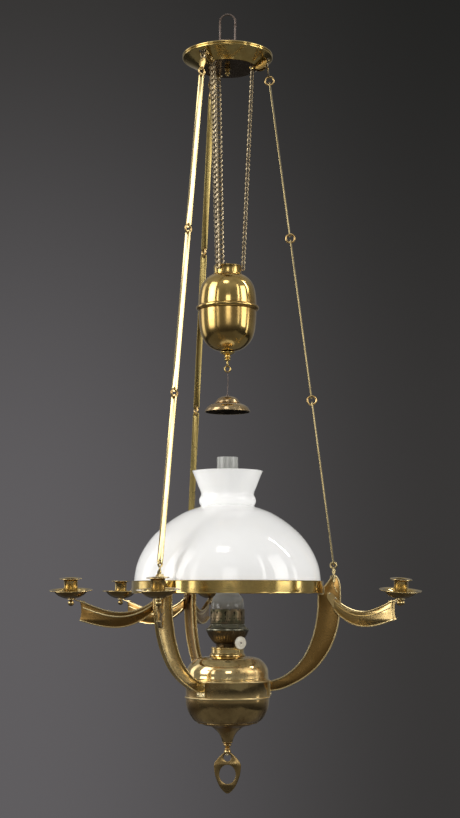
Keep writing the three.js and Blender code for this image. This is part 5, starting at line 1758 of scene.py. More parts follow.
@dataclass
class CandleArms:
    """The six small arms, which spring from the main arms' sides."""

    arms: MainArms
    splay: float = 17.0
    start_inset: float = 11.3
    top_drop: float = 44.0
    depth: float = 20.0
    tip_depth: float = 36.0
    sag: float = 22.0
    sag_share: float = 0.85
    rib_share: float = 0.3
    tip_drop: float = 2.5
    foot_rise: float = 12.0
    foot_run: float = 14.0
    web: float = 3.0
    flange: float = 8.0
    flange_sheet: float = 2.2
    lip: float = 1.2
    tip_short: float = 16.0
    bite: float = 3.0
    bite_radius: float = 56.0
    eye_radius: float = 6.0
    eye_sheet: float = 2.2
    tongue: float = 5.0
    screw_size: Point2 = (2.3, 1.7)
    screw_shares: Shares = ((-0.68, 0.8), (0.07, 0.07))

    def __post_init__(self) -> None:
        """Works out the height and radius of the root, and how far out it stands from the main arm."""
        self.top = LAY.apex - self.top_drop
        self.start_r = LAY.arm_outer - self.start_inset
        self.face = self.arms.flange / 2 + GAP

    def build(self) -> None:
        """Makes the six arms and their screws."""
        right = self.one()
        for number, angle in enumerate(ARM_ANGLES):
            for hand, draft in enumerate((right, right.mirrored()), 1):
                name = f"candle_arm_{2 * number + hand}"
                # Painted light and shade: the candle arms on the first main arm get the lit web brass, the
                # others the shaded one.
                lit_or_shaded_web = Finishes.SHADED_ARM_WEB if number else Finishes.LIT_ARM_FACE
                make_piece(f"{name}_cast", draft.turned(angle), [lit_or_shaded_web, Finishes.ARM_EDGE_HIGHLIGHT], Body.LAMP,
                    [name])
        self.screws()

    def one(self) -> Draft:
        """The arm on the +Y side of the first main arm."""
        tip_x = LAY.candle_circle * cos(radians(self.splay))
        tip_y = LAY.candle_circle * sin(radians(self.splay))
        start = (self.start_r, self.face + self.flange / 2)
        run = hypot(tip_x - start[0], tip_y - start[1])
        bearing = degrees(atan2(tip_y - start[1], tip_x - start[0]))
        length = run - self.tip_short
        shares = np.linspace(0, 1, 25)
        upper = [(length * s, self.top - self.sag * sin(pi * s ** self.sag_share) - self.tip_drop * s)
            for s in shares]
        lower = [(x, z - self.depth - (self.tip_depth - self.depth) * s) for (x, z), s in zip(upper, shares)]
        middle = upper[-1][1] - self.tip_depth / 2
        reach = degrees(asin(self.tip_depth / 2 / self.bite_radius))
        end = arc((length + self.bite_radius - self.bite, middle), self.bite_radius, 180 - reach,
            180 + reach, 10)
        web = plate([*upper[:-1], *end, *reversed(lower[:-1])], self.web, 0.3)
        bands = [edge_band(line, self.flange_sheet, self.flange, self.lip, side) for line,
            side in ((upper, -1), (lower, 1))]
        rib_line = [(x, z + (w - z) * self.rib_share) for (x, z), (_, w) in zip(upper, lower)][1:-1]
        rib = swept([(x, 0, z) for x, z in rib_line], circle(self.web / 2 + 0.5, 8), (0, 1, 0))
        eye_z = LAY.candle_z - LAY.dish_depth - GAP - self.eye_sheet
        route = flowing([(length - 9, upper[-1][1] - 2.0), (length - 2, upper[-1][1] - 1.4),
            (length + 5, upper[-1][1] - 0.4), (run - self.eye_radius, eye_z + self.eye_sheet / 2),
            (run, eye_z + self.eye_sheet / 2)], 6)
        half, thin = self.tongue / 2, self.eye_sheet / 2 - 0.1
        strap = softened([(-half, -thin), (half, -thin), (half, thin), (-half, thin)], 0.5)
        tongue = swept([(x, 0, z) for x, z in route], np.array(strap), (0, 1, 0))
        eye = lathed(softened([(2.3, eye_z), (self.eye_radius, eye_z),
            (self.eye_radius, eye_z + self.eye_sheet), (2.3, eye_z + self.eye_sheet)], 0.5), 32).moved(run)
        # The flanges, rib, tongue and eye take finish 1, the pale brass that paints highlights along the
        # edges.
        arm = web.with_(bands[0].with_(bands[1], rib, tongue, eye).marked(1))
        placed = arm.turned(bearing).moved(start[0], start[1])
        side = sliced(placed, (0, self.face, 0), (0, -1, 0))
        return side.with_(self.foot())

    def foot(self) -> Draft:
        """The flat foot on the side of the main arm."""
        start, top = self.start_r, self.top
        outline = softened([(start - self.foot_run, top + self.foot_rise),
            (start - self.foot_run * 0.4, top + self.foot_rise * 0.9),
            (start + self.flange, top - self.flange / 2), (start + self.flange, top - self.depth),
            (start, top - self.depth), (start - self.foot_run, top + self.foot_rise - self.depth / 2)], 2.0)
        return plate(outline, self.web, 0.5).moved(y=self.face + self.web / 2)

    def screws(self) -> None:
        """Two round-headed screws through each foot."""
        places = []
        for angle, hand, (count, (run, rise)) in product(ARM_ANGLES, (1, -1), enumerate(self.screw_shares)):
            out = axis_shift(angle + 90, hand)
            r, z = self.start_r + self.foot_run * run, self.top + self.foot_rise * rise
            spot = axis_shift(angle, r) + out * (self.face + self.web - 0.2) + Vector((0, 0, z))
            tilt = radians(25 + 70 * count)
            places.append((spot, out, axis_shift(angle, cos(tilt), sin(tilt))))
        made = Repeats.copies_at("candle_arm_screws", screw_head(*self.screw_size), places, Finishes.SCREW)
        settle(made, Body.LAMP)


@dataclass
class CandleHolders:
    """The six drip pans with their nozzles."""

    arms: CandleArms
    pan_radius: float = 38.0
    pan_sheet: float = 1.3
    dish_radius: float = 30.5
    bore: float = 22.2
    nozzle_sheet: float = 1.0
    nozzle_height: float = 25.0
    lip_radius: float = 19.8
    lip_sheet: float = 1.2
    floor_lift: float = 7.0
    floor_sheet: float = 2.0
    ball: float = 5.4
    stem: float = 2.0
    bowl_steps: Steps = ((11.6, 0.5), (21.4, 4.6), (27.2, 9.4))
    root_steps: Steps = ((2.6, 2.4), (1.0, 3.2), (0, 4.6))
    ridge_steps: Steps = ((0, -1.0), (0.55, -0.4), (0.55, 0.6), (0, 1.2))
    leans: tuple[Point2, ...] = ((5.0, 1.0), (7.0, 4.0), (1.0, 1.0), (-2.0, 1.0), (5.0, -1.0), (6.0, 0.0))

    def profile(self) -> list[Point2]:
        """The holder's profile, from the ball nut to the floor of the nozzle."""
        rim = LAY.candle_z
        under = rim - LAY.dish_depth
        eye = under - GAP - self.arms.eye_sheet
        ball_z = eye - GAP - self.ball
        floor = under + self.pan_sheet + self.floor_lift + self.floor_sheet
        lip = floor + self.nozzle_height
        wall = self.bore / 2 + self.nozzle_sheet
        bowl = flowing([(self.stem + 1.2, under), *near(0, under, self.bowl_steps),
            (self.dish_radius - 0.6, rim - 2.0)], 5)
        inside = [(r - 0.6 * self.pan_sheet, z + self.pan_sheet) for r, z in reversed(bowl[6:-2])]
        return [(0, ball_z - self.ball), *oval((0.0, ball_z), (self.ball, self.ball), -84, 62, 14),
            (self.stem, ball_z + self.ball * 0.95), (self.stem, under - 0.1), *bowl,
            (self.dish_radius + 0.8, rim - self.pan_sheet), (self.pan_radius - 0.6, rim - self.pan_sheet),
            *oval((self.pan_radius - 0.5, rim - self.pan_sheet / 2), (0.5, self.pan_sheet / 2), -80, 80, 6),
            (self.pan_radius - 1.6, rim - 0.25), (self.dish_radius + 0.2, rim - 0.35),
            (self.dish_radius - 0.8, rim - 1.1), *inside, *near(wall, under, self.root_steps),
            *near(wall, floor, self.ridge_steps), (wall, lip - 4.2), (wall + 0.8, lip - 2.4),
            (wall + 2.6, lip - self.lip_sheet - 0.2), (self.lip_radius - 0.6, lip - self.lip_sheet),
            *oval((self.lip_radius - 0.5, lip - self.lip_sheet / 2), (0.5, self.lip_sheet / 2), -80, 80, 6),
            (self.lip_radius - 1.6, lip), (self.bore / 2 + 1.0, lip - 0.1), (self.bore / 2, lip - 0.8),
            (self.bore / 2, floor + 0.5), (self.bore / 2 - 0.5, floor), (0, floor)]

    def build(self) -> None:
        """Makes the six holders, each leaning a little, as old ones do."""
        rim = LAY.candle_z
        # Faces that look down take finish 1, a darker brass that paints the shade under the pans.
        holder = lathed(self.profile(), 96).marked_under(1).moved(z=-rim)
        leans = iter(self.leans)
        for number, angle in enumerate(ARM_ANGLES):
            for hand, side in enumerate((1, -1), 1):
                name = f"candle_holder_{2 * number + hand}"
                forward, sideways = next(leans)
                spot = axis_shift(angle + side * self.arms.splay, LAY.candle_circle)
                draft = holder.turned(forward, "X").turned(sideways, "Y").moved(spot.x, spot.y, rim)
                make_piece(f"{name}_spun", draft, [Finishes.HOLDER, Finishes.UNDERSIDE_SHADE], Body.LAMP, [name])


# Font cup, tail and pull plate


@dataclass
class FontCup:
    """The open cup that holds the reservoir, and the turned tail under it."""

    bead: float = 1.4
    base_radius: float = 55.6
    base_rim: float = 2.2
    sheet: float = 1.4
    hole: float = 5.0
    plate_radius: float = 48.0
    plate_step: float = 3.0
    plate_drop: float = 8.0
    tail_height: float = 36.0
    tail_top: float = 28.0
    tail_end: float = 9.3
    first_bead: float = 8.0
    middle_bead: float = 6.0
    last_bead: float = 6.8
    bead_pitch: float = 9.4
    middle_drop: float = 7.5
    spigot: float = 4.6
    spigot_length: float = 9.0
    cup_shares: Shares = ((1, 0.03), (0.995, 0.2), (0.97, 0.42), (0.91, 0.66), (0.82, 0.87), (0.75, 0.955))
    horn_shares: Shares = ((1, 0), (0.72, 0.24), (0.54, 0.46), (0.42, 0.7), (0.345, 0.93))

    def __post_init__(self) -> None:
        """Works out the top and the foot of the tail's horn and the height of the pull plate's pin."""
        self.tail_top_z = LAY.cup_base - self.plate_drop
        self.tail_end_z = self.tail_top_z - self.tail_height + self.plate_drop
        self.pin_z = self.tail_end_z - 2 * self.bead_pitch - self.last_bead / 2

    def build(self) -> None:
        """Makes the cup and the tail."""
        self.cup()
        self.tail()

    def cup(self) -> None:
        """A band between two beads over a rounded bowl."""
        r, band, top, base = LAY.cup_radius, LAY.cup_band_bottom, LAY.cup_top, LAY.cup_base
        bowl = flowing([(r * x, band - LAY.cup_bowl * z) for x, z in self.cup_shares], 5)
        outside = [(self.hole, base), (self.base_radius + 0.6, base),
            *oval((self.base_radius + 0.4, base + self.base_rim / 2), (1.2, self.base_rim / 2), -80, 80, 8),
            (self.base_radius + 0.2, base + self.base_rim), *reversed(bowl)]
        lower = oval((r - 0.1, band), (self.bead + 0.1, self.bead), -75, 75, 8)
        upper = oval((r, top - self.bead), (self.bead, self.bead), -80, 100, 12)
        band_wall = [(r, band + self.bead + 0.3), (r, top - 2 * self.bead - 0.3)]
        inside = [(r - self.sheet, top - 0.3), *beside(bowl, -self.sheet),
            (self.base_radius - 1, base + self.sheet), (self.hole, base + self.sheet)]
        profile = [*outside, *lower, *band_wall, *upper, *inside]
        # The seam beads take finish 1, a pale brass that paints their highlights.
        seams = [lathed(oval((r, z), (self.bead + 0.35, self.bead + 0.1), 0, 340, 17), 168)
            for z in (band, top - self.bead - 0.1)]
        # The bowl below the band takes finish 2, a darker brass that is painted shade.
        draft = lathed(profile, 168).marked_between(base - 1, band - self.bead, 2)
        draft = draft.with_(*(seam.marked(1) for seam in seams))
        make_piece("font_cup_spun", draft, [Finishes.CUP, Finishes.SEAM_HIGHLIGHT, Finishes.BOWL_SHADE], Body.LAMP,
            ["font_cup"])

    def tail(self) -> None:
        """A stepped plate, a horn, three beads and the pin for the pull plate."""
        top = LAY.cup_base - GAP
        drop = self.tail_top_z - self.tail_end_z
        first = self.tail_end_z - self.first_bead / 2
        middle = first - self.middle_drop
        last = self.pin_z + PullPlate.eye_bridge + PullPlate.pin
        r = self.plate_radius
        horn = flowing([(self.tail_top * x, self.tail_top_z - drop * z) for x, z in self.horn_shares], 6)
        profile = [(0, top + self.spigot_length), (self.spigot, top + self.spigot_length),
            (self.spigot, top), (r - 0.4, top), *oval((r - 0.6, top - 0.9), (0.6, 0.9), 80, -80, 6),
            (r - self.plate_step * 0.6, top - self.plate_step * 0.7),
            (r - self.plate_step, top - self.plate_step), *flowing([(r - self.plate_step - 1.0,
            top - self.plate_step - 0.4), (self.tail_top * 1.32, self.tail_top_z + 3.0),
            (self.tail_top * 1.06, self.tail_top_z + 0.9)], 6), *horn,
            (self.tail_end * 1.05, self.tail_end_z + 0.7), *oval((self.tail_end * 0.9, self.tail_end_z),
            (self.tail_end * 0.16, 0.8), 60, -60, 6), *oval((0.0, first),
            (self.first_bead, self.first_bead * 0.46), 36, -46, 12),
            *oval((0.0, middle), (self.middle_bead, self.middle_bead * 0.46), 46, -46, 10),
            *oval((0.0, last), (self.last_bead, self.last_bead), 56, -90, 18)[:-1],
            (0, last - self.last_bead)]
        # The tail is drawn in the same darker brass, painted shade under the cup.
        made = make_piece("cup_tail_turned", lathed(profile, 120), Finishes.BOWL_SHADE, Body.LAMP, ["cup_finial"])
        slot_top = self.pin_z + PullPlate.pin + GAP + PullPlate.eye_bridge + PullPlate.slot_depth
        slot_low = self.pin_z - 2 * self.last_bead
        width = PullPlate.thickness + 2 * GAP
        cut_away(made, [block((2 * self.tail_top, width, slot_top - slot_low),
            (0, 0, (slot_top + slot_low) / 2))])
        reach = self.last_bead - PullPlate.pin / 2
        pin = lathed(softened([(0, -reach - 0.8), (2.4, -reach - 0.8), (2.4, -reach + 0.4),
            (PullPlate.pin, -reach + 0.4), (PullPlate.pin, reach - 0.4), (2.4, reach - 0.4),
            (2.4, reach + 0.8), (0, reach + 0.8)], 0.4, closed=False), 28)
        make_piece("pull_pin", pin.turned(90, "X").moved(z=self.pin_z), Finishes.SCREW, Body.LAMP)


@dataclass
class PullPlate:
    """The pull plate, with its eye and its finger hole."""

    cup: FontCup
    width: float = 50.0
    length: float = 76.0
    thickness: float = 3.5
    eye: float = 7.15
    eye_bridge: float = 3.0
    finger: float = 30.6
    finger_height: float = 34.8
    finger_drop: float = 41.0
    pin: float = 1.8
    slot_depth: float = 3.2
    shares: Shares = ((0.16, 0.002), (0.45, 0.07), (0.8, 0.19), (1, 0.3), (0.995, 0.42), (0.91, 0.58),
        (0.7, 0.76), (0.48, 0.88), (0.2, 0.972))

    def build(self) -> None:
        """Makes the plate."""
        top = self.cup.pin_z + self.pin + GAP + self.eye_bridge
        eye_z = self.cup.pin_z + self.pin + GAP - self.eye
        finger_z = top - self.finger_drop
        right = [(self.width / 2 * x, top - self.length * z) for x, z in self.shares]
        outline = flowing([*right, (0, top - self.length), *((-x, z) for x, z in reversed(right))], 6,
            closed=True)
        holes = [arc((0.0, eye_z), self.eye, 0, 354, 59), oval((0.0, finger_z),
            (self.finger / 2, self.finger_height / 2), 0, 354, 59)]
        draft = plate(outline, self.thickness, 0.9, holes)
        make_piece("pull_plate_cast", draft, Finishes.PLATE, Body.PULL, ["pull_plate"])


# Font and burner


@dataclass
class Font:
    """The reservoir and the burner's screw collar."""

    cup: FontCup
    radius: float = 76.3
    sheet: float = 1.4
    neck_radius: float = 36.0
    neck_hole: float = 22.0
    bottom_radius: float = 28.0
    collar_radius: float = 33.8
    step_radius: float = 30.5
    step_height: float = 8.0
    collar_hole: float = 14.0
    thread: float = 5.0
    foot_steps: Steps = ((-0.9, 0), (0, 0.9), (-0.4, 2.6))
    head_steps: Steps = ((0, -4.0), (0.5, -3.2), (0.5, -1.2), (-0.8, 0))
    dome_shares: Shares = ((1, 0.05), (1, 0.2), (0.995, 0.41), (0.965, 0.56), (0.915, 0.69), (0.84, 0.82),
        (0.76, 0.91), (0.62, 0.972), (0.5, 0.99))
    bowl_shares: Shares = ((0.76, 0.88), (0.85, 0.78), (0.93, 0.55), (0.97, 0.35))

    def build(self) -> None:
        """Makes the reservoir and the collar."""
        self.reservoir()
        self.collar()

    def reservoir(self) -> None:
        """The body in the cup, a seam flange on the cup's rim and a domed top."""
        low = LAY.cup_base + self.cup.spigot_length + GAP
        low_r = LAY.cup_radius - self.cup.sheet - GAP
        seam = LAY.cup_radius + self.cup.bead / 2
        base = LAY.cup_top + GAP
        under = [(low_r * x - GAP, LAY.cup_band_bottom - LAY.cup_bowl * z + self.cup.sheet + 2 * GAP) for x,
            z in self.bowl_shares]
        dome = flowing([(self.radius * x, LAY.cup_top + LAY.font_dome * z) for x, z in self.dome_shares], 5)
        flange = [(seam - 0.5, base), *oval((seam - 0.5, base + 0.7), (0.5, 0.7), -80, 80, 6),
            (seam - 1.2, base + 1.4)]
        ridge = oval((self.radius, base + 4.6), (0.7, 0.7), -70, 70, 6)
        profile = [(0, low), (self.bottom_radius, low), *under, (low_r, LAY.cup_band_bottom), (low_r, base),
            *flange, *dome[:3], *ridge, *dome[5:], (self.neck_radius, LAY.font_top),
            (self.neck_hole, LAY.font_top), (self.neck_hole, LAY.font_top - self.sheet),
            *((r - self.sheet, z - self.sheet) for r, z in reversed(dome[4:-2])),
            (low_r - self.sheet, LAY.cup_band_bottom), *((r - self.sheet, z + self.sheet) for r,
            z in reversed(under)), (0, low + self.sheet)]
        make_piece("reservoir_spun", lathed(profile, 168), Finishes.FONT, Body.FONT, ["reservoir"])

    def collar(self) -> None:
        """A plain bright ring with a rounded foot and a beaded top."""
        low, top = LAY.font_top + GAP, LAY.collar_top
        thread_r = self.neck_hole - GAP
        step = low + self.step_height
        profile = softened([(self.collar_hole, low - self.thread), (thread_r, low - self.thread),
            (thread_r, low), *near(self.collar_radius, low, self.foot_steps),
            (self.step_radius + 1.6, low + 3.8), (self.step_radius, step - 2),
            *near(self.step_radius, top, self.head_steps), (self.collar_hole, top)], 0.5)
        make_piece("burner_collar_turned", lathed(profile, 120), Finishes.BRIGHT, Body.FONT,
            ["burner_collar"])


def fluted(draft: Draft, count: int, depth: float, low: float, high: float) -> Draft:
    """Presses upright flutes into a turned draft between two heights.

    Args:
        draft: The draft, turned about Z.
        count: How many flutes go round.
        depth: How deep they are.
        low: The height where they start.
        high: The height where they end.

    Returns:
        The fluted draft.
    """
    result = draft.copy()
    x, y, z = result.points.T
    share = np.clip((z - low) / (high - low), 0, 1)
    window = np.sin(pi * share) ** 0.6
    wave = 0.5 - 0.5 * np.cos(np.arctan2(y, x) * count)
    r = np.maximum(np.hypot(x, y), 1e-6)
    scale = 1 - depth * window * wave ** 3 / r
    result.points[:, 0] *= scale
    result.points[:, 1] *= scale
    return result


@dataclass
class Burner:
    """The round-wick burner: body, crown, wick and wick knob."""

    neck_radius: float = 22.0
    rim_radius: float = 40.6
    cove_radius: float = 31.6
    cove_hip: float = 33.2
    sheet: float = 1.6
    flutes: int = 36
    crown_radius: float = 32.4
    crown_height: float = 27.0
    crown_sheet: float = 0.9
    teeth: int = 12
    tooth: float = 3.6
    seat: float = 3.0
    wick_radius: float = 13.2
    wick_sheet: float = 2.0
    wick_height: float = 44.0
    knob_radius: float = 12.0
    knob_thickness: float = 4.4
    knob_reach: float = 40.0
    shaft: float = 1.6
    boss: float = 4.8
    boss_reach: float = 28.0
    knob_rise: float = 2.5
    knob_azimuth: float = -48.0
    bowl_shares: Shares = ((0.545, 0.0), (0.61, 0.04), (0.735, 0.26), (0.868, 0.58), (0.955, 0.88),
        (0.985, 0.95))
    notch_share: float = 0.5
    rim_steps: Steps = ((-1.2, -1.4), (-0.4, -0.6), (0, 0.6), (-0.2, 2.6), (-1.4, 3.6), (-3.4, 4.4))
    knob_back: Steps = ((-0.8, 0), (0, 0.9))
    knob_rim: Steps = ((0, -1.2), (-0.7, -0.5), (-1.8, -0.5), (-2.3, -0.9))
    knob_face: Steps = ((6.4, -0.7), (5.6, -0.2), (4.6, 0), (3.2, -0.1), (2.6, -0.5), (0, -0.6))
    knob_hub: Point2 = (3.4, 1.8)
    diamond: Steps = ((-1.6, 10.0), (0, 7.8), (1.6, 10.0), (0, 12.2))
    arrow: Steps = ((0, 0), (-3.1, -5.6), (-0.9, -4.7), (-0.9, -9.2), (0.9, -9.2), (0.9, -4.7), (3.1, -5.6))
    hole: float = 1.1
    hole_height: float = 5.0
    punch: float = 8.0
    punch_bevel: float = 0.05
    lining: float = 0.6

    @property
    def knob_z(self) -> float:
        """Height of the knob's shaft."""
        return LAY.collar_top + LAY.burner_neck + self.knob_rise

    def build(self) -> None:
        """Makes every piece of the burner."""
        self.body()
        self.rim()
        self.crown()
        self.wick()
        self.knob()

    def body(self) -> None:
        """A ridged neck, a fluted bowl and the tube for the wick."""
        start = LAY.collar_top + GAP
        neck_top = start + LAY.burner_neck
        rise = LAY.bowl_top - neck_top
        tube = self.wick_radius + GAP
        ridges = []
        for i in range(3):
            z = start + LAY.burner_neck * (i + 0.5) / 3
            ridges += [(self.neck_radius - 1.0, z - 0.95), *oval((self.neck_radius - 0.8, z), (0.8, 0.8),
                -70, 70, 5)]
        bowl = flowing([(self.rim_radius * x, neck_top + rise * z) for x, z in self.bowl_shares], 6)
        inside = [(r - self.sheet, z + self.sheet) for r, z in reversed(bowl[8:-4])]
        profile = [(tube, start), (self.neck_radius - 1.2, start), *ridges,
            (self.neck_radius - 1.2, neck_top), *bowl, (self.rim_radius - 1.0, LAY.bowl_top - self.sheet),
            (self.rim_radius - 3.0, LAY.bowl_top - 1), *inside, (tube + self.sheet, neck_top + self.sheet),
            (tube + self.sheet, LAY.cove_top - 2), (tube, LAY.cove_top - 2)]
        draft = fluted(lathed(profile, 216), self.flutes, 0.9, neck_top + 1.5, LAY.bowl_top - 2.5)
        boss = lathed(softened([(0, self.wick_radius + 1), (self.boss, self.wick_radius + 1),
            (self.boss, self.boss_reach - 1.2), (self.boss - 0.8, self.boss_reach - 0.6),
            (self.boss - 0.8, self.boss_reach), (0, self.boss_reach)], 0.4, closed=False), 32)
        boss = boss.turned(90, "Y").moved(z=self.knob_z).turned(self.knob_azimuth)
        make_piece("burner_bowl_fluted", draft.with_(boss), Finishes.BURNER, Body.FONT, ["burner_body"])

    def rim(self) -> None:
        """The flat rim and the grey-green cove that carry the crown."""
        tube = self.wick_radius + GAP + self.sheet
        top = LAY.bowl_top
        profile = softened([(self.cove_hip - 4, top - 1.2), *near(self.rim_radius, top, self.rim_steps),
            (self.cove_hip + 1.6, top + LAY.burner_cove * 0.6), (self.cove_radius + 1.0,
            top + LAY.burner_cove * 0.84), (self.cove_radius + 0.4, LAY.cove_top), (tube, LAY.cove_top),
            (tube, LAY.cove_top - self.sheet), (self.cove_radius - 3, LAY.cove_top - self.sheet),
            (self.cove_hip - 4, top + 1)], 0.7)
        make_piece("burner_rim_cove", lathed(profile, 144), Finishes.COVE, Body.FONT)

    def crown(self) -> None:
        """The pierced gallery that holds the chimney."""
        low = LAY.cove_top + GAP
        top = low + self.crown_height
        inner = self.crown_radius - self.crown_sheet
        seat_r = self.wick_radius + self.seat
        profile = [(self.crown_radius - 0.2, low), (self.crown_radius, low + 0.4),
            (self.crown_radius, top - 0.2), (self.crown_radius - 0.3, top), (inner + 0.2, top),
            (inner, top - 0.3), (inner, low + self.crown_sheet), (seat_r, low + self.crown_sheet),
            (seat_r, low)]
        made = make_piece("burner_crown_pierced", lathed(profile, 120), Finishes.CROWN, Body.FONT,
            ["burner_crown"])
        step = 360 / self.teeth
        half = self.crown_radius * sin(radians(step / 2)) * self.notch_share
        reach = self.crown_radius - 3
        head = top - self.tooth + self.lining
        notch, arrow, diamond, hole = (plate(outline, self.punch, self.punch_bevel).moved(y=-reach)
            for outline in ([(-half, top + 2), (0, top - self.tooth), (half, top + 2)],
            near(0, head, self.arrow), near(0, low, self.diamond),
            arc((0.0, low + self.hole_height), self.hole, 0, 330, 11)))
        turns = [(notch.turned(step * (i + 0.5)), arrow.turned(step * i)) for i in range(self.teeth)]
        cutters = Draft().with_(*(cutter for pair in turns for cutter in pair),
            *(diamond.turned(step / 2 * i) for i in range(2 * self.teeth)),
            *(hole.turned(step / 4 * (i + 0.5)) for i in range(4 * self.teeth)))
        cut_away(made, [cutters])
        # Painted shade: a dark sleeve behind the piercings, so that the shaded inside of the crown shows
        # through them.
        outside, foot = inner - GAP, low + self.crown_sheet + GAP
        inside = outside - self.lining
        sleeve = lathed(softened([(outside, foot), (outside, head), (inside, head), (inside, foot)], 0.1),
            96)
        make_piece("burner_crown_lining", sleeve, Finishes.SOOT_AND_SHADE, Body.FONT, [])

    def wick(self) -> None:
        """The woven tube of the wick."""
        top = LAY.cove_top + self.crown_sheet + self.seat
        inner = self.wick_radius - self.wick_sheet
        profile = softened([(self.wick_radius, top - self.wick_height), (self.wick_radius, top),
            (inner, top), (inner, top - self.wick_height)], 0.7)
        draft = fluted(lathed(profile, 144), 48, 0.35, top - self.wick_height, top + 2)
        make_piece("wick_woven", draft, Finishes.COTTON, Body.WICK, ["wick"])

    def knob(self) -> None:
        """The wick knob: a ringed disc with a dark middle on a thin shaft."""
        reach, face, r = self.knob_reach, self.knob_reach + self.knob_thickness, self.knob_radius
        hub, collar = self.knob_hub
        disc = lathed(softened([(0, self.wick_radius + 1), (self.shaft, self.wick_radius + 1),
            (self.shaft, reach - 2.2), (hub, reach - collar), (hub, reach), *near(r, reach, self.knob_back),
            *near(r, face, self.knob_rim), *near(0, face, self.knob_face)], 0.35, closed=False), 72)
        disc = fluted(disc, 36, 0.5, reach + 0.6, face - 1.0)
        dot = lathed([(0, face - 1.5), (1.7, face - 1.5), *oval((0.0, face - 0.7), (1.7, 0.6), 10, 90,
            6)[:-1], (0, face - 0.1)], 28).marked(1)
        draft = disc.with_(dot).turned(90, "Y").moved(z=self.knob_z).turned(self.knob_azimuth)
        make_piece("wick_knob_ringed", draft, [Finishes.NICKEL, Finishes.IRON], Body.KNOB, ["wick_knob"])


# Glass


@dataclass
class Glass:
    """The chimney and the opal shade."""

    burner: Burner
    tube_radius: float = 20.1
    bulge_radius: float = 31.0
    chimney_glass: float = 1.6
    chimney_height: float = 312.0
    bulge_height: float = 52.0
    shoulder: float = 8.0
    dome_height: float = 144.0
    neck_radius: float = 52.8
    neck_height: float = 68.0
    waist_radius: float = 50.0
    lip_radius: float = 67.3
    shade_glass: float = 3.0
    bulge_shares: Shares = ((0.9, 0), (0.95, 0.25), (1, 0.46), (1, 0.64), (0.965, 0.8), (0.87, 0.93),
        (0.75, 1))
    dome_shares: Shares = ((1, 0.012), (1, 0.07), (0.977, 0.236), (0.914, 0.42), (0.806, 0.61),
        (0.657, 0.778), (0.491, 0.91), (0.36, 0.977))
    neck_shares: Shares = ((0.02, 0.03), (0.15, 0.085), (0.22, 0.165), (0.17, 0.245), (0.04, 0.31),
        (0, 0.365), (0.09, 0.45), (0.34, 0.6), (0.69, 0.83), (0.94, 0.985))

    def build(self) -> None:
        """Makes the chimney and the shade."""
        self.chimney()
        self.shade()

    def chimney(self) -> None:
        """A tall tube with a bulge round the flame and a melted top edge."""
        foot = LAY.cove_top + self.burner.crown_sheet + 2 * GAP
        top = foot + self.chimney_height
        line = [(self.bulge_radius * x, foot + self.bulge_height * z) for x, z in self.bulge_shares]
        neck = foot + self.bulge_height + self.shoulder
        smooth = flowing([*line, (self.tube_radius + 0.3, neck), (self.tube_radius, neck + 16)], 6)
        outside = [*smooth, *((self.tube_radius, z) for z in np.linspace(neck + 30, top - 0.9, 14))]
        edge = oval((self.tube_radius - self.chimney_glass / 2, top - 0.8), (self.chimney_glass / 2, 0.8),
            10, 170, 8)
        inside = [(r - self.chimney_glass, z) for r, z in reversed(outside)]
        make_piece("chimney_blown", lathed([*outside, *edge, *inside], 96), Finishes.CLEAR, Body.CHIMNEY,
            ["chimney"])

    def shade(self) -> None:
        """A dome with a rolled neck ring and a flared collar."""
        base = LAY.shade_bottom
        r, neck = LAY.shade_radius, base + self.dome_height
        flare = self.lip_radius - self.waist_radius
        dome = flowing([(r * x, base + self.dome_height * z) for x, z in self.dome_shares], 6)
        pinch = [(self.neck_radius, neck - 0.4)]
        flared = flowing([(self.waist_radius + flare * x, neck + self.neck_height * z) for x,
            z in self.neck_shares], 6)
        half = self.shade_glass / 2
        lip = oval((self.lip_radius - half, neck + self.neck_height - 0.8), (half, 0.8), -20, 190, 10)
        inside = [*((x - self.shade_glass * 0.9, z - 0.4) for x,
            z in reversed(flared[:-2]) if z > neck + 20), (self.waist_radius - self.shade_glass, neck),
            *((x - 2.2, z - 2.4) for x, z in reversed(dome[4:-2])), (r - self.shade_glass, base + 2.0)]
        foot = oval((r - half, base + 1.6), (half, 1.6), 200, 350, 8)
        profile = [*dome, *pinch, *flared, *lip, *inside, *foot]
        make_piece("shade_opal_dome", lathed(profile, 168), Finishes.OPAL, Body.SHADE, ["shade"])


# Studio


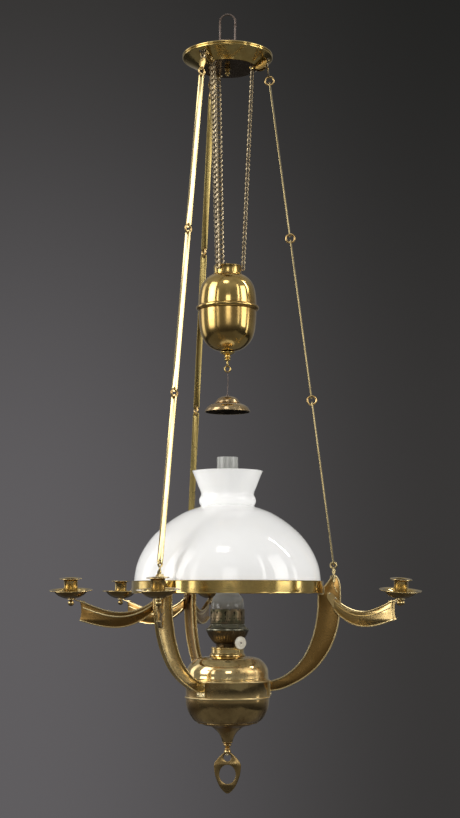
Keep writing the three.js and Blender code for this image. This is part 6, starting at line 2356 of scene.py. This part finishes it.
@dataclass
class SoftBox:
    """A rectangular studio light."""

    name: str
    azimuth: float
    distance: float
    height: float
    size: Point2
    radiance: float
    spread: float = 75.0
    warmth: Colour = (1.0, 0.98, 0.95)

    def build(self) -> None:
        """Makes the light, turned towards the middle of the lamp."""
        data = bpy.data.lights.new(self.name, "AREA")
        data.shape = "RECTANGLE"
        data.size, data.size_y = self.size
        data.spread = radians(self.spread)
        data.energy = self.radiance * pi * self.size[0] * self.size[1]
        data.color = self.warmth
        lamp = in_scene(self.name, data)
        turn = radians(self.azimuth)
        lamp.location = (self.distance * sin(turn), -self.distance * cos(turn), self.height)
        aim = Vector((0.0, 0.0, Studio.middle)) - lamp.location
        lamp.rotation_euler = aim.to_track_quat("-Z", "Y").to_euler()
        lamp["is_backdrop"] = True


@dataclass
class Studio:
    """Camera, floor, surroundings and lights, in metres."""

    middle: float = -0.8
    azimuth: float = 7.0
    distance: float = 3.029
    sideways: float = 0.0047
    camera_height: float = -1.136
    pitch: float = 6.74
    focal: float = 70.4
    floor_height: float = -5.5
    floor_size: float = 16.0
    half_view: float = 0.139
    backdrop_low: tuple[Colour, Colour] = ((0.116, 0.110, 0.115), (0.040, 0.038, 0.037))
    backdrop_high: tuple[Colour, Colour] = ((0.034, 0.0325, 0.031), (0.0155, 0.0155, 0.0145))
    room: tuple[Colour, Colour, Colour] = ((0.025, 0.025, 0.027), (0.23, 0.228, 0.222), (0.42, 0.42, 0.41))
    fill: tuple[Colour, Colour, Colour] = ((0.06, 0.06, 0.06), (0.96, 0.96, 0.945), (0.13, 0.13, 0.13))
    backdrop_rise: Point2 = (0.03, 0.42)
    room_edges: tuple[Point2, Point2] = ((-0.34, 0.02), (0.3, 0.7))
    room_shade: Colour = (0.7, 0.7, 0.7)
    fill_edges: tuple[Point2, Point2] = ((-0.45, -0.3), (0.3, 0.45))
    boxes: tuple[SoftBox, ...] = (SoftBox("left_box", 7.0 - 68, 2.6, 0.15, (1.4, 3.0), 0.95),
        SoftBox("left_rear", 7.0 - 118, 2.6, -0.3, (0.9, 2.6), 0.22),
        SoftBox("left_strip", 7.0 - 41, 3.2, -0.2, (0.4, 2.0), 0.4),
        SoftBox("front_window", 7.0 + 3, 4.2, -0.1, (1.2, 1.5), 0.42),
        SoftBox("right_near", 7.0 + 45, 3.0, 0.3, (0.26, 2.4), 0.6),
        SoftBox("right_box", 7.0 + 69, 3.0, 0.0, (1.1, 2.2), 0.75),
        SoftBox("right_far", 7.0 + 91, 3.0, -0.8, (0.3, 1.6), 0.45),
        SoftBox("top_box", 7.0 - 8, 2.2, 2.2, (0.9, 0.7), 0.8), SoftBox("tall_strip", 7.0 + 95, 1.9, 0.72,
        (0.1, 1.15), 4.0),)

    def camera(self) -> None:
        """Sets up the camera at the photograph's angle."""
        data = bpy.data.cameras.new("photo_camera")
        data.lens = self.focal
        data.sensor_width = 36.0
        data.clip_end = 60.0
        turn = radians(self.azimuth)
        made = in_scene("photo_camera", data)
        made.location = (self.distance * sin(turn) + self.sideways * cos(turn),
            -self.distance * cos(turn) + self.sideways * sin(turn), self.camera_height)
        made.rotation_euler = (radians(90 + self.pitch), 0.0, turn)
        bpy.context.scene.camera = made

    def floor(self) -> None:
        """A pale floor below the lamp."""
        half = self.floor_size / 2
        mesh = bpy.data.meshes.new("studio_floor")
        corners = [(x, y, self.floor_height) for x, y in ((-half, -half), (half, -half), (half, half),
            (-half, half))]
        mesh.from_pydata(corners, [], [(0, 1, 2, 3)])
        mesh.materials.append(Finishes.FLOOR.material())
        in_scene("studio_floor", mesh)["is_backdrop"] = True

    @staticmethod
    def layers(nodes: Nodes, height: NodeSocket, colours: tuple[Colour, Colour, Colour],
            edges: tuple[Point2, Point2]) -> NodeSocket:
        """Three colours by height, from below to above, with soft edges between them."""
        lower = nodes.mixed(nodes.ramp(height, *edges[0]), *colours[:2])
        return nodes.mixed(nodes.ramp(height, *edges[1]), lower, colours[2])

    def surroundings(self) -> None:
        """A dark grey backdrop, a plain grey room for the reflections and a soft fill."""
        world = bpy.data.worlds.new("studio_room")
        bpy.context.scene.world = world
        world.use_nodes = True
        nodes = Nodes(world.node_tree)
        way = nodes.add("ShaderNodeTexCoord").outputs["Generated"]
        height = nodes.add("ShaderNodeSeparateXYZ", {0: way}).outputs["Z"]
        turn = radians(self.azimuth)
        side = nodes.add("ShaderNodeVectorMath", {0: way, 1: (cos(turn), sin(turn), 0.0)},
            operation="DOT_PRODUCT").outputs["Value"]
        across = nodes.ramp(side, -self.half_view, self.half_view)
        low, high = (nodes.mixed(across, *pair) for pair in (self.backdrop_low, self.backdrop_high))
        wall = nodes.mixed(nodes.ramp(height, *self.backdrop_rise), low, high)
        blotches = nodes.ramp(nodes.noise(way, 3.2, 2.0), 0.3, 0.7)
        room = nodes.add("ShaderNodeMix", {0: 1.0, 6: self.layers(nodes, height, self.room,
            self.room_edges), 7: nodes.mixed(blotches, self.room_shade, (1.0, 1.0, 1.0))}, data_type="RGBA",
            blend_type="MULTIPLY")
        fill = self.layers(nodes, height, self.fill, self.fill_edges)
        path = nodes.add("ShaderNodeLightPath").outputs
        seen = nodes.maths("MAXIMUM", path["Is Camera Ray"], path["Is Transmission Ray"])
        colour = nodes.mixed(seen, nodes.mixed(path["Is Glossy Ray"], fill, room.outputs[2]), wall)
        nodes.feed(world.node_tree.nodes["Background"], {"Color": colour})

    def build(self) -> None:
        """Makes the whole studio."""
        bpy.context.scene.view_settings.view_transform = "Standard"
        self.floor()
        self.surroundings()
        for box in self.boxes:
            box.build()


def corners(box: tuple[Vector, Vector]) -> list[list[float]]:
    """A box as plain lists."""
    return [list(box[0]), list(box[1])]


def main() -> None:
    """Builds every sub-assembly in order."""
    logging.basicConfig(level=logging.INFO, format="%(name)s %(message)s")
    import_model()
    cad = corners(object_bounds())
    studio = Studio()
    studio.camera()
    weight = Counterweight()
    arms = MainArms()
    candle_arms = CandleArms(arms)
    cup = FontCup()
    burner = Burner()
    parts = (LiftChains(), Hanger(), Canopy(), Pulleys(), RodLines(), Hooks(), weight, SmokeBell(weight),
        arms, ShadeRing(), candle_arms, CandleHolders(candle_arms), cup, PullPlate(cup), Font(cup), burner,
        Glass(burner), studio)
    for part in parts:
        part.build()
    json.dumps({"cad": cad, "visual": corners(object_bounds())}, indent=1)


if __name__ == "__main__":
    main()
